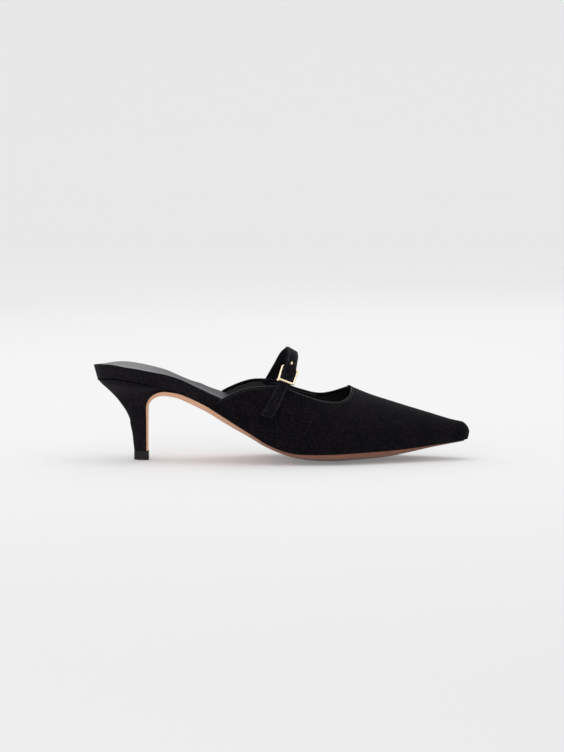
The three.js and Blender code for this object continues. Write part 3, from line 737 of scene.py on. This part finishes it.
def makeUpper():
    bm = sheetOf(upperSizes["around"], upperSizes["up"], upperSkin)
    bmesh.ops.remove_doubles(bm, verts=bm.verts, dist=2e-6)
    spot, out, along, up = upperSpot(0.25, 0.5)
    near = min(bm.faces, key=lambda f: (f.calc_center_median() - toFrame(spot)).length)
    if near.normal.dot(out) < 0:
        bmesh.ops.reverse_faces(bm, faces=bm.faces[:])
    tops = [toFrame(upperSkin(k / 400, 1)) for k in range(401)]
    for face in bm.faces:
        middle = face.calc_center_median()
        if min((middle - top).length for top in tops) < upperSizes["turnOver"] * 0.001:
            face.material_index = 2  # the suede goes on over the edge
    upper = pieceOf("vamp_and_wings", bm, [suede, lining, suede, suede], ["upper"])
    wall = upper.modifiers.new("wall", "SOLIDIFY")
    wall.thickness = last["wall"] * 0.001
    wall.offset = -1
    wall.use_even_offset = True
    wall.thickness_clamp = 0.5
    wall.material_offset = 1
    rounded(upper, 0.5, 3, 55)


# name, finish, inset below the edge, offset from the wall, radius, and the shares where it starts and ends
toplineEdges = [
    # The first line is a painted highlight along the topline's rim
    ("topline_highlight", toplineHighlight, 0.12, 0.02, 0.2, 0.02, 0.98),
    ("lining_edge_outer", liningEdge, 2.3, -1.8, 0.26, 0.02, 0.26),
    ("lining_edge_inner", liningEdge, 2.3, -1.8, 0.26, 0.74, 0.98),
]


# A fine line along the topline
def toplineLine(name, finish, inset, off, radius, start, end):
    stops = []
    for k in range(241):
        u = lerp(start, end, k / 240)
        here, out, along, up = upperSpot(u, 1)
        stops.append(here - up * inset + out * off)
    line = Line(stops, 900)

    def ring(u, v):
        heading = line.heading(u)
        side = upward.cross(heading).normalized()
        return ringPoint(line.at(u), side, heading.cross(side), v, radius)

    pieceOf(name, tubeOf(420, 6, ring), [finish], sharp=80)


# One stitch, longest along its heading
def addStitch(bm, place, along, out, size):
    across = out.cross(along).normalized()
    addBall(bm, place, [along * size[0], across * size[1], out * size[2]], 8, 5)


# Even stitches along spots of place, heading and outward direction
def stitchLine(bm, spotAt, length, pitch, size):
    count = int(length / pitch)
    for k in range(count):
        place, along, out = spotAt((k + 0.5) / count)
        addStitch(bm, place, along, out, size)


def toplineSpot(inset):
    def spotAt(share):
        u = lerp(0.012, 0.988, share)
        reach = (upperSkin(u, 1) - upperSkin(u, 0.97)).length / 0.03
        here, out, along, up = upperSpot(u, 1 - inset / reach)
        return here + out * 0.04, along, out

    return spotAt


def makeToplineStitches():
    bm = bmesh.new()
    spotAt = toplineSpot(upperSizes["stitchInset"])
    samples = [spotAt(k / 300)[0] for k in range(301)]
    reach = [0]
    for a, b in zip(samples, samples[1:]):
        reach.append(reach[-1] + (b - a).length)

    def even(share):
        want = share * reach[-1]
        k = max(next(i for i, r in enumerate(reach) if r >= want), 1)
        part = (want - reach[k - 1]) / (reach[k] - reach[k - 1])
        return spotAt((k - 1 + part) / 300)

    stitchLine(bm, even, reach[-1], upperSizes["stitchPitch"], upperSizes["stitch"])
    pieceOf("topline_stitches", bm, [thread])


makeUpper()
makeToplineStitches()
for edge in toplineEdges:
    toplineLine(*edge)

# Outsole, heel block and top piece
soleSizes = {
    "breastReach": 35.1,
    "breastRadius": 12,
    "flapThickness": 1.1,
    "lipReach": 55.5,
    "topPieceHeight": 6.2,
    "topPieceProud": 0.1,
    "heelBackInset": 3,
    "flapShare": 0.26,
    "gap": 0.08,
    "edgeBevel": 0.3,
}

# at, back, half
heelRows = [
    (0, 0.257, 0.2),
    (0.13, 0.278, 0.204),
    (0.237, 0.296, 0.218),
    (0.307, 0.317, 0.236),
    (0.377, 0.338, 0.258),
    (0.43, 0.344, 0.282),
    (0.5, 0.384, 0.322),
    (0.557, 0.426, 0.37),
    (0.61, 0.477, 0.425),
    (0.667, 0.537, 0.49),
    (0.742, 0.625, 0.59),
    (0.812, 0.724, 0.7),
    (0.876, 0.823, 0.805),
    (0.948, 0.94, 0.91),
    (1, 1, 0.965),
]
heelBackShare, heelHalfShare = column(heelRows, 1), column(heelRows, 2)
breastReach = soleSizes["breastReach"]
heelReach = breastReach - soleSizes["heelBackInset"]
breastCentre = breastReach + last["gap"] + soleSizes["breastRadius"]
breastTop = soleLine(breastCentre) - last["gap"] - soleSizes["breastRadius"]
heelFoot = soleSizes["topPieceHeight"] + soleSizes["gap"]


# Up the breast of the heel, round its curve and along the arch
def breastPath(path, gap):
    radius = soleSizes["breastRadius"] + last["gap"] - gap
    if path <= 1:
        return breastCentre - radius, lerp(heelFoot, breastTop, path)
    if path <= 2:
        angle = (path - 1) * math.pi / 2
        return breastCentre - radius * math.cos(angle), breastTop + radius * math.sin(angle)
    x = lerp(breastCentre, soleSizes["lipReach"], path - 2)
    return x, soleLine(x) - gap


def soleHalf(x, side):
    trim = last["soleTrim"] * (1 + 2 * smoothstep(x / soleLength, 0.8, 0.95))
    end = closing(x, 0, last["seatRadius"], soleLength - last["soleSetback"], last["noseLength"])
    return (plainHalf(x, side) - trim) * end


def pathHalf(path, side):
    def neck(z):
        rise = clamp((z - heelFoot) / (seatLine(0) - heelFoot), 0, 1)
        return heelHalfShare(rise) * last["seatWidth"] / 2

    if path <= 1:
        return neck(breastPath(path, 0)[1])
    return lerp(neck(breastTop), soleHalf(breastPath(path, 0)[0], side), smoothstep(path, 0.9, 2))


def outsolePoint(u, v, layer):
    across = 2 * v - 1
    side = -1 if across < 0 else 1
    flapShare = soleSizes["flapShare"]
    full = last["soleThickness"]
    if u < flapShare:
        path = 2 * u / flapShare
        thick = lerp(soleSizes["flapThickness"], full * thickShare(0), smoothstep(path, 0.8, 2))
        thick *= 1 - soleSizes["edgeBevel"] * across**8 * smoothstep(path, 0.8, 2)
        x, z = breastPath(path, soleSizes["gap"] + layer * thick)
        return Vector((x, across * pathHalf(path, side), z))
    along = (u - flapShare) / (1 - flapShare)
    toeEnd = soleLength - last["soleSetback"]
    x = lerp(breastCentre, toeEnd, lerp(along, math.sin(along * math.pi / 2), 0.45))
    y = across * soleHalf(x, side)
    top = soleLine(x) - soleSizes["gap"] - crownDrop(x, y, side)
    slope = soleLine(x + 1) - soleLine(x)
    bevel = 1 - soleSizes["edgeBevel"] * across**8
    thick = full * thickShare(x / soleLength) * math.hypot(1, slope) * bevel
    return Vector((x, swing(x) + y, max(top - thick, 0.02) if layer else top))


outsole = pieceOf("outsole", slabOf(190, 30, outsolePoint), [tanLeather], ["outsole"])
rounded(outsole, 0.35, 2, 50)


# How much the wing's wall takes from the footbed's edge, none behind the wing
def wingWrap(x):
    start = upperSizes["wingStart"]
    return (last["wall"] + last["gap"] + last["feltTuck"]) * smoothstep(x, start - 8, start - 1)


def bedHalf(x, side):
    end = closing(x, 0, last["seatRadius"], soleLength - last["bedSetback"], last["noseLength"])
    return (plainHalf(x, side) - wingWrap(x)) * end


# The heel: u runs from one front corner round the back to the other and then across, rise runs up
def heelPoint(u, rise):
    frontShare = 0.14
    flapRise = (breastTop - heelFoot) / (seatLine(0) - heelFoot)
    path = rise / flapRise if rise < flapRise else 1 + 2 * (rise - flapRise) / (1 - flapRise)
    frontX, frontZ = breastPath(path, 0)
    back, half = heelBackShare(rise), heelHalfShare(rise)
    backX = breastReach - heelReach * back
    backZ = lerp(heelFoot, seatLine(soleSizes["heelBackInset"]) - soleSizes["gap"], rise)
    seated = smoothstep(rise, 0.7, 1)

    def corner(turn, side):
        along = math.sin(turn)
        away = along ** (1 + smoothstep(path, 1, 1.8))
        x = lerp(frontX, backX, away)
        neck = lerp(pathHalf(path, side), half * last["seatWidth"] / 2, along)
        seat = bedHalf(lerp(frontX, 0, away), side) * half
        y = side * lerp(neck * max(math.cos(turn), 0) ** 0.8, seat, seated)
        under = seatLine(x) - soleSizes["gap"]
        level = min(lerp(frontZ, backZ, along), under + rise - 1)
        return Vector((x, y, under if rise == 1 else level))

    if u > 1 - frontShare:
        across = (u - 1 + frontShare) / frontShare
        return lerp(corner(0, 1), corner(0, -1), across)
    lap = u / (1 - frontShare)
    return corner(lap * math.pi, -1) if lap < 0.5 else corner((1 - lap) * math.pi, 1)


heel = pieceOf("heel_block", tubeOf(100, 70, heelPoint), [heelSuede], ["heel"], sharp=50)
rounded(heel, 0.6, 3, 55)


def topPiecePoint(u, v):
    half = heelRows[0][2] * last["seatWidth"] / 2 + soleSizes["topPieceProud"]
    proud = soleSizes["topPieceProud"]
    frontX = breastReach + last["gap"] + soleSizes["flapThickness"] + proud
    backX = breastReach - heelReach * heelRows[0][1] - proud
    z = v * soleSizes["topPieceHeight"]
    frontShare = 0.2
    if u > 1 - frontShare:
        across = (u - 1 + frontShare) / frontShare
        return Vector((frontX, lerp(half, -half, across), z))
    turn = (u / (1 - frontShare) - 0.5) * math.pi
    y = math.copysign(half * abs(math.sin(turn)) ** 0.8, turn)
    return Vector((lerp(frontX, backX, math.cos(turn)), y, z))


topPiece = pieceOf("top_piece_lift", tubeOf(60, 6, topPiecePoint), [topLift], ["top_piece"])
rounded(topPiece, 0.3, 2, 50)
print("sole and heel ready")

# Footbed and sock
bedSizes = {
    "sockThickness": 1.1,
    "sockInset": 0.9,
    "sockRear": 5,
    "gap": 0.06,
    "rearRise": 1,
    "rearRiseReach": 9,
    "rearTwist": 0.06,
    "rearTwistReach": (3, 24),
    "creaseShadeReach": 0.33,
    "creaseShadeRadius": 0.44,
    "edgeReach": 0.42,
    "edgeRadius": 0.2,
    "edgeDrop": 0.12,
    "sideRise": 1.4,
    "sideRiseAt": 59,
    "sideRiseReach": 11,
    "sideRiseEdge": (4, 18),
}


# The seat's rear rim turns up a little, and its outer side rises just behind the wing
def seatRise(x, y):
    rear = bedSizes["rearRise"] * (1 - smoothstep(x, 0, bedSizes["rearRiseReach"]))
    twist = -y * bedSizes["rearTwist"] * (1 - smoothstep(x, *bedSizes["rearTwistReach"]))
    bell = math.exp(-(((x - bedSizes["sideRiseAt"]) / bedSizes["sideRiseReach"]) ** 2))
    return rear + twist + bedSizes["sideRise"] * bell * smoothstep(-y, *bedSizes["sideRiseEdge"])


def footbedPoint(u, v, layer):
    frontX = soleLength - last["bedSetback"]
    x = lerp(0, frontX, lerp(u, 0.5 - 0.5 * math.cos(u * math.pi), 0.75))
    across = 2 * v - 1
    side = -1 if across < 0 else 1
    y = across * bedHalf(x, side)
    seat = 1 - smoothstep(x, 0, 3 * last["seatRadius"])
    pulled = x + last["bedTaper"] * seat
    if layer:
        under = seatLine(pulled) - crownDrop(x, y, side)
        narrow = 1 - seat * last["bedTaper"] / last["seatWidth"]
        return Vector((pulled, swing(x) + y * narrow, under))
    top = bedTop(x) + seatRise(x, y) - crownDrop(x, y, side) - bedSizes["gap"]
    return Vector((x, swing(x) + y, top - bedSizes["sockThickness"] * smoothstep(x, 60, 75)))


def sockPoint(u, v, layer):
    inset = bedSizes["sockInset"]
    frontX = soleLength - last["bedSetback"] - inset
    rear = bedSizes["sockRear"]
    x = lerp(rear, frontX, lerp(u, 0.5 - 0.5 * math.cos(u * math.pi), 0.75))
    across = 2 * v - 1
    side = -1 if across < 0 else 1
    end = closing(x, rear, last["seatRadius"] - rear, frontX, last["noseLength"])
    y = across * (plainHalf(x, side) - inset - wingWrap(x)) * end
    top = bedTop(x) + seatRise(x, y) - crownDrop(x, y, side) + 0.25
    return Vector((x, swing(x) + y, top - bedSizes["sockThickness"] * layer))


footbed = pieceOf("wrapped_footbed", slabOf(150, 24, footbedPoint), [heelSuede], ["footbed"])
rounded(footbed, 0.45, 3, 45)
sock = pieceOf("sock_lining", slabOf(150, 24, sockPoint), [sockLeather], ["sock"])
rounded(sock, 0.3, 3, 45)


# The sock's rim, a paler line of painted highlight all round its rear half
def sockRimHighlightPoint(u, v):
    run = abs(2 * u - 1)
    side = 1 if u > 0.5 else 0
    here = sockPoint(bedSizes["edgeReach"] * run, side, 0)
    return ringPoint(here - upward * bedSizes["edgeDrop"], inward, upward, v, bedSizes["edgeRadius"])


pieceOf("sock_rim_highlight", tubeOf(240, 6, sockRimHighlightPoint), [sockRimHighlight], sharp=80)


# A dark line of painted shade in the crease where the band sits on the heel, fading towards the arch
def creaseShadePoint(u, v):
    run = 2 * u - 1
    share = abs(run)
    here = footbedPoint(bedSizes["creaseShadeReach"] * share, 1 if run > 0 else 0, 1)
    radius = lerp(bedSizes["creaseShadeRadius"], 0.12, smoothstep(share, 0.35, 1))
    return ringPoint(here, inward, upward, v, radius)


pieceOf("heel_crease_shade", tubeOf(200, 8, creaseShadePoint), [creaseShade], sharp=80)
print("footbed and sock ready")

# Strap
strapSizes = {
    "width": 7.9,
    "thickness": 1.5,
    "bulge": 6.5,
    "lowerWidth": 1.1,
    "frameWidth": 1.5,
    "frameShift": 0.45,
    "frameAt": 0.036,
    "frameReach": 5,
    "innerWidth": 1.2,
    "lowerBar": 0.212,
    "slack": 0.3,
    "endSlant": 1.2,
    "rideOver": 1.2,
    "rideAt": 0.085,
    "rideReach": 3.4,
    "endEdge": 0.6,
    "grooveDepth": 0.16,
    "grooveWidth": 0.42,
    "stitchInset": 1.15,
    "stitchPitch": 1.75,
    "stitch": (1.1, 0.36, 0.3),
}

halfStrap = strapSizes["width"] / 2

# side, at, rise, lift
strapRows = [
    (-1, 0.4595, 0.252, 0),
    (-1, 0.4745, 0.37, 0),
    (-1, 0.487, 0.485, 0.01),
    (-1, 0.499, 0.6, 0.12),
    (-1, 0.508, 0.7, 0.5),
    (-1, 0.5125, 0.79, 0.95),
    (-1, 0.5155, 0.885, 1.05),
    (-1, 0.52, 0.965, 0.6),
    (1, 0.5235, 1, 0.2),
    (1, 0.5185, 0.95, 0.3),
    (1, 0.507, 0.865, 0.34),
    (1, 0.495, 0.74, 0.22),
    (1, 0.4795, 0.6, 0.06),
    (1, 0.4635, 0.465, 0.01),
    (1, 0.451, 0.335, 0),
    (1, 0.44, 0.235, 0),
]


def strapSpot(row):
    side, at, rise, lift = row
    x = at * soleLength
    girth = girthAt(x, rise)
    out = Vector((0.45, 0, 0.89)) if rise == 1 else lastNormal(x, girth, side)
    off = last["gap"] + strapSizes["thickness"] / 2 + lift * strapSizes["bulge"]
    return lastPoint(x, girth, side) + out * off, out


strapSpots = [strapSpot(row) for row in strapRows]
strapLine = Line([spot for spot, out in strapSpots])
facings = [Curve(strapLine.runs[0].places, [out[i] for spot, out in strapSpots]) for i in range(3)]


def strapFrame(share):
    along = strapLine.heading(share)
    step = strapLine.step(share)
    out = Vector([facing(step) for facing in facings])
    across = along.cross(out).normalized()
    face = across.cross(along).normalized()
    return strapLine.at(share), across, along, face


# 1 inside the buckle's frame and 0 away from it
def framed(share):
    away = (share - strapSizes["lowerBar"] - strapSizes["frameAt"]) * strapLine.length
    return math.exp(-((away / strapSizes["frameReach"]) ** 4))


# The lower end, the part inside the buckle and the inner half are a little wider
def strapWiden(share):
    inFrame = strapSizes["frameWidth"] * framed(share)
    lower = strapSizes["lowerWidth"] * (1 - smoothstep(share, 0.02, 0.2))
    inner = strapSizes["innerWidth"] * smoothstep(share, 0.5, 0.62)
    return 1 + (lower + inFrame + inner) / strapSizes["width"]


# The strap rides over the buckle's upper bar
def strapRide(share):
    away = (share - strapSizes["lowerBar"] - strapSizes["rideAt"]) * strapLine.length
    return strapSizes["rideOver"] * math.exp(-((away / strapSizes["rideReach"]) ** 2))


# The lower end is cut on a slant: how far it moves a point along, in shares of the length
def strapSlant(share, x):
    slant = strapSizes["endSlant"] / strapLine.length * (1 - smoothstep(share, 0, 0.1))
    return slant * x / halfStrap


# Section of the strap: flat faces, soft corners and a groove under each row of stitches
def strapSection(v):
    turn = v * 2 * math.pi
    c, s = math.cos(turn), math.sin(turn)
    x = math.copysign(abs(c) ** 0.32, c) * halfStrap
    z = math.copysign(abs(s) ** 0.55, s) * strapSizes["thickness"] / 2
    inset = halfStrap - strapSizes["stitchInset"]
    groove = strapSizes["grooveDepth"] * math.exp(-(((abs(x) - inset) / strapSizes["grooveWidth"]) ** 2))
    return x, z - math.copysign(groove, s) * (abs(s) > 0.2)


def strapPoint(u, v):
    edge = strapSizes["endEdge"] / strapLine.length
    share = clamp(u, 0, 1)
    x, z = strapSection(v)
    nearEnd = min(share, 1 - share)
    soft = math.sqrt(clamp(1 - (1 - nearEnd / edge) ** 2, 0.2, 1)) if nearEnd < edge else 1
    share = share + strapSlant(share, x)
    place, across, along, face = strapFrame(share)
    beyond = min(share, 0) * strapLine.length
    wide = x * (0.94 + 0.06 * soft) * strapWiden(share) + strapSizes["frameShift"] * framed(share)
    return place + along * beyond + across * wide + face * (z * soft + strapRide(share))


pieceOf("strap_band", tubeOf(240, 48, strapPoint), [strapSuede], ["strap"], sharp=60)


def makeStrapStitches():
    bm = bmesh.new()
    inset = halfStrap - strapSizes["stitchInset"]
    height = strapSizes["thickness"] / 2 - 0.1
    endShare = 1.15 / strapLine.length

    def row(x):
        def spotAt(share):
            at = lerp(endShare, 1 - endShare, share) + strapSlant(share, x)
            place, across, along, face = strapFrame(at)
            wide = across * (x * strapWiden(share) + strapSizes["frameShift"] * framed(share))
            return place + wide + face * (height + strapRide(share)), along, face

        return spotAt

    for x in (-inset, inset):
        stitchLine(bm, row(x), strapLine.length, strapSizes["stitchPitch"], strapSizes["stitch"])
    for share in (endShare, 1 - endShare):
        place, across, along, face = strapFrame(share)
        slant = strapSizes["endSlant"] if share < 0.5 else 0
        for k in range(3):
            x = lerp(-inset, inset, (k + 0.5) / 3)
            spot = place + across * x + along * (slant * x / halfStrap) + face * height
            addStitch(bm, spot, across, face, strapSizes["stitch"])
    pieceOf("strap_stitches", bm, [thread])


makeStrapStitches()

# Shares of the sole's length, shares of the last's height, and millimetres from lean on
tabSizes = {
    "rear": 0.458,
    "front": 0.505,
    "low": 0.48,
    "high": 0.55,
    "sweep": 0.035,
    "lean": 3,
    "off": 0.06,
    "thickness": 0.8,
}


# The strap's inner end, seen inside the far wing below the topline
def tabPoint(u, v, layer):
    x = lerp(tabSizes["rear"], tabSizes["front"], u) * soleLength - tabSizes["lean"] * (1 - v)
    low = tabSizes["low"] + tabSizes["sweep"] * (1 - u) ** 2
    girth = girthAt(x, lerp(low, tabSizes["high"], v))
    inside = last["wall"] + tabSizes["off"] + layer * tabSizes["thickness"]
    return lastPoint(x, girth, 1) - lastNormal(x, girth, 1) * inside


tab = pieceOf("strap_inner_tab", slabOf(20, 12, tabPoint), [strapSuede])
rounded(tab, 0.3, 2, 45)

# Buckle
buckleSizes = {
    "width": 11.8,
    "height": 12.9,
    "sideways": 0.7,
    "bar": 1.4,
    "corner": 1.5,
    "ball": 0.95,
    "prong": 1.2,
    "tip": 2.7,
    "standoff": 1.2,
}
barOffset = (strapSizes["thickness"] + buckleSizes["bar"]) / 2 + last["gap"] + strapSizes["slack"]


def barSpot(share, facing):
    place, across, along, face = strapFrame(share)
    return place + face * facing * barOffset


# Where along the strap the upper bar lies, one frame height from the lower bar
def upperShareOf(lower):
    low, high = strapSizes["lowerBar"], strapSizes["lowerBar"] + 0.3
    for attempt in range(30):
        middle = (low + high) / 2
        near = (barSpot(middle, -1) - lower).length < buckleSizes["height"] - buckleSizes["bar"]
        low, high = (middle, high) if near else (low, middle)
    return low


lowerBar = barSpot(strapSizes["lowerBar"], 1)
upperBarShare = upperShareOf(lowerBar)
upperBar = barSpot(upperBarShare, -1)
frameUp = (upperBar - lowerBar).normalized()
frameOut = strapFrame(strapSizes["lowerBar"])[1].cross(frameUp).normalized()
frameSide = frameUp.cross(frameOut)
frameMiddle = (lowerBar + upperBar) / 2 + frameSide * buckleSizes["sideways"]


# A square ring with rounded corners: u runs round it and v round its bar
def bucklePoint(u, v):
    bar = buckleSizes["bar"]
    corner = buckleSizes["corner"] - bar / 2
    w, h = (buckleSizes["width"] - bar) / 2 - corner, (buckleSizes["height"] - bar) / 2 - corner
    lengths = [2 * h, corner * math.pi / 2, 2 * w, corner * math.pi / 2] * 2
    want = (u % 1) * sum(lengths)
    k = 0
    while want > lengths[k]:
        want -= lengths[k]
        k += 1
    quarter, straight = k // 2, k % 2 == 0
    starts = [(w + corner, -h, 0, 1), (w, h + corner, -1, 0)]
    starts += [tuple(-n for n in start) for start in starts]
    if straight:
        x, y, dx, dy = starts[quarter]
        x, y = x + dx * want, y + dy * want
    else:
        centre = [(w, h), (-w, h), (-w, -h), (w, -h)][quarter]
        angle = quarter * math.pi / 2 + want / corner
        x, y = centre[0] + corner * math.cos(angle), centre[1] + corner * math.sin(angle)
        dx, dy = -math.sin(angle), math.cos(angle)
    turn = v * 2 * math.pi
    c, s = math.cos(turn), math.sin(turn)
    out = math.copysign(abs(c) ** 0.7, c) * bar / 2
    high = math.copysign(abs(s) ** 0.7, s) * bar / 2
    return frameMiddle + frameSide * (x + dy * out) + frameUp * (y - dx * out) + frameOut * high


def makeBuckle():
    bm = tubeOf(144, 20, bucklePoint)
    ball, bar = buckleSizes["ball"], buckleSizes["bar"]
    centre = frameMiddle - frameSide * (buckleSizes["width"] / 2 - bar / 3)
    centre -= frameUp * (buckleSizes["height"] / 2 + ball / 4)
    addBall(bm, centre, [frameSide * 2 * ball, frameUp * 2 * ball, frameOut * 2 * ball])
    pieceOf("square_buckle", bm, [paleGold], ["buckle_frame"], sharp=60)


def makeProng():
    place, across, along, face = strapFrame(upperBarShare)
    bar, prong = buckleSizes["bar"], buckleSizes["prong"]
    hook = (bar + prong) / 2 + last["gap"]
    front = strapSizes["thickness"] / 2 + prong / 4
    reach = bar / 2 + buckleSizes["standoff"]
    stops = [
        (-hook / 2, -barOffset - hook),
        (hook / 2, -barOffset - hook),
        (reach, -barOffset),
        (reach, 0),
        (reach, front),
    ]
    route = Line([place + along * y + face * z for y, z in stops])

    def stemPoint(u, v):
        other = route.heading(u).cross(across).normalized()
        return ringPoint(route.at(u), across, other, v, prong / 2)

    bm = tubeOf(30, 16, stemPoint)
    tip = place + along * reach + face * (front + prong / 3)
    addBall(bm, tip, [across * prong * 1.25, along * buckleSizes["tip"], face * prong])
    pieceOf("buckle_pin", bm, [paleGold], ["buckle_prong"], sharp=60)


makeBuckle()
makeProng()
print("strap and buckle ready, strap length", round(strapLine.length, 1))

# Camera, light and floor
view = {
    "elevation": 5,
    "distance": 2.6,
    "rows": 752,
    "pixelsPerMetre": 1500,
    "sensor": 36,
    "aimX": 0.1255,
    "aimZ": 0.0559,
}
tilt = math.radians(view["elevation"])
aim = Vector((bedLow[0] + view["aimX"], 0, view["aimZ"]))
camera = bpy.data.objects.new("camera", bpy.data.cameras.new("camera"))
scene.collection.objects.link(camera)
camera.location = aim + Vector((0, -math.cos(tilt), math.sin(tilt))) * view["distance"]
camera.rotation_euler = (math.pi / 2 - tilt, 0, 0)
pictureHeight = view["rows"] / view["pixelsPerMetre"]
camera.data.sensor_width = view["sensor"]
camera.data.lens = view["sensor"] * view["distance"] / pictureHeight
camera.data.clip_end = 50
scene.camera = camera


def addLight(name, place, target, size, watts):
    data = bpy.data.lights.new(name, "AREA")
    data.shape = "RECTANGLE"
    data.size, data.size_y = size
    data.energy = watts
    light = bpy.data.objects.new(name, data)
    light.location = place
    light.rotation_euler = (Vector(target) - Vector(place)).to_track_quat("-Z", "Y").to_euler()
    scene.collection.objects.link(light)


# name, place, target, width and depth in metres, watts
addLight("top", (0.1, 0.25, 1.5), (0, 0, 0), (1.6, 1.2), 6)
addLight("front", (-0.5, -1.9, 0.7), (0, 0, 0.03), (1.2, 0.9), 7)
addLight("back", (0.3, 1.5, 0.8), (0, 0, 0.03), (1.0, 0.8), 2)
addLight("rear left", (-1.3, 0.7, 0.8), (-0.05, 0, 0.04), (0.8, 0.6), 2)
scene.view_settings.view_transform = "Standard"

world = bpy.data.worlds.new("studio")
world.use_nodes = True
sky = world.node_tree.nodes["Background"].inputs
sky["Color"].default_value = (1, 1, 1, 1)
sky["Strength"].default_value = 0.8
scene.world = world


def makeFloor():
    paper = Paint("pale floor", Roughness=0.9, Specular_IOR_Level=0.1, Emission_Strength=0.185)
    paper.shader.inputs["Emission Color"].default_value = (1, 1, 1, 1)
    depth = paper.axis(1)
    middle = paper.mix(paper.noise(3, detail=2), grey(0.635), grey(0.655))
    # Painted shade: the floor darker towards the camera
    near = paper.mix(paper.span(depth, -1.4, 0.1), grey(0.575), middle)
    # Painted light: the floor paler far behind, where the back lamp's light does not reach
    paper.feed("Base Color", paper.mix(paper.span(depth, 1.45, 2.1), near, grey(0.745)))
    bm = bmesh.new()
    bmesh.ops.create_grid(bm, x_segments=60, y_segments=60, size=6)
    for vert in bm.verts:
        behind = max(vert.co.y - 2.5, 0)
        vert.co.z = 0.6 * behind**2
    objectOf("floor", bm, [paper.material])


makeFloor()
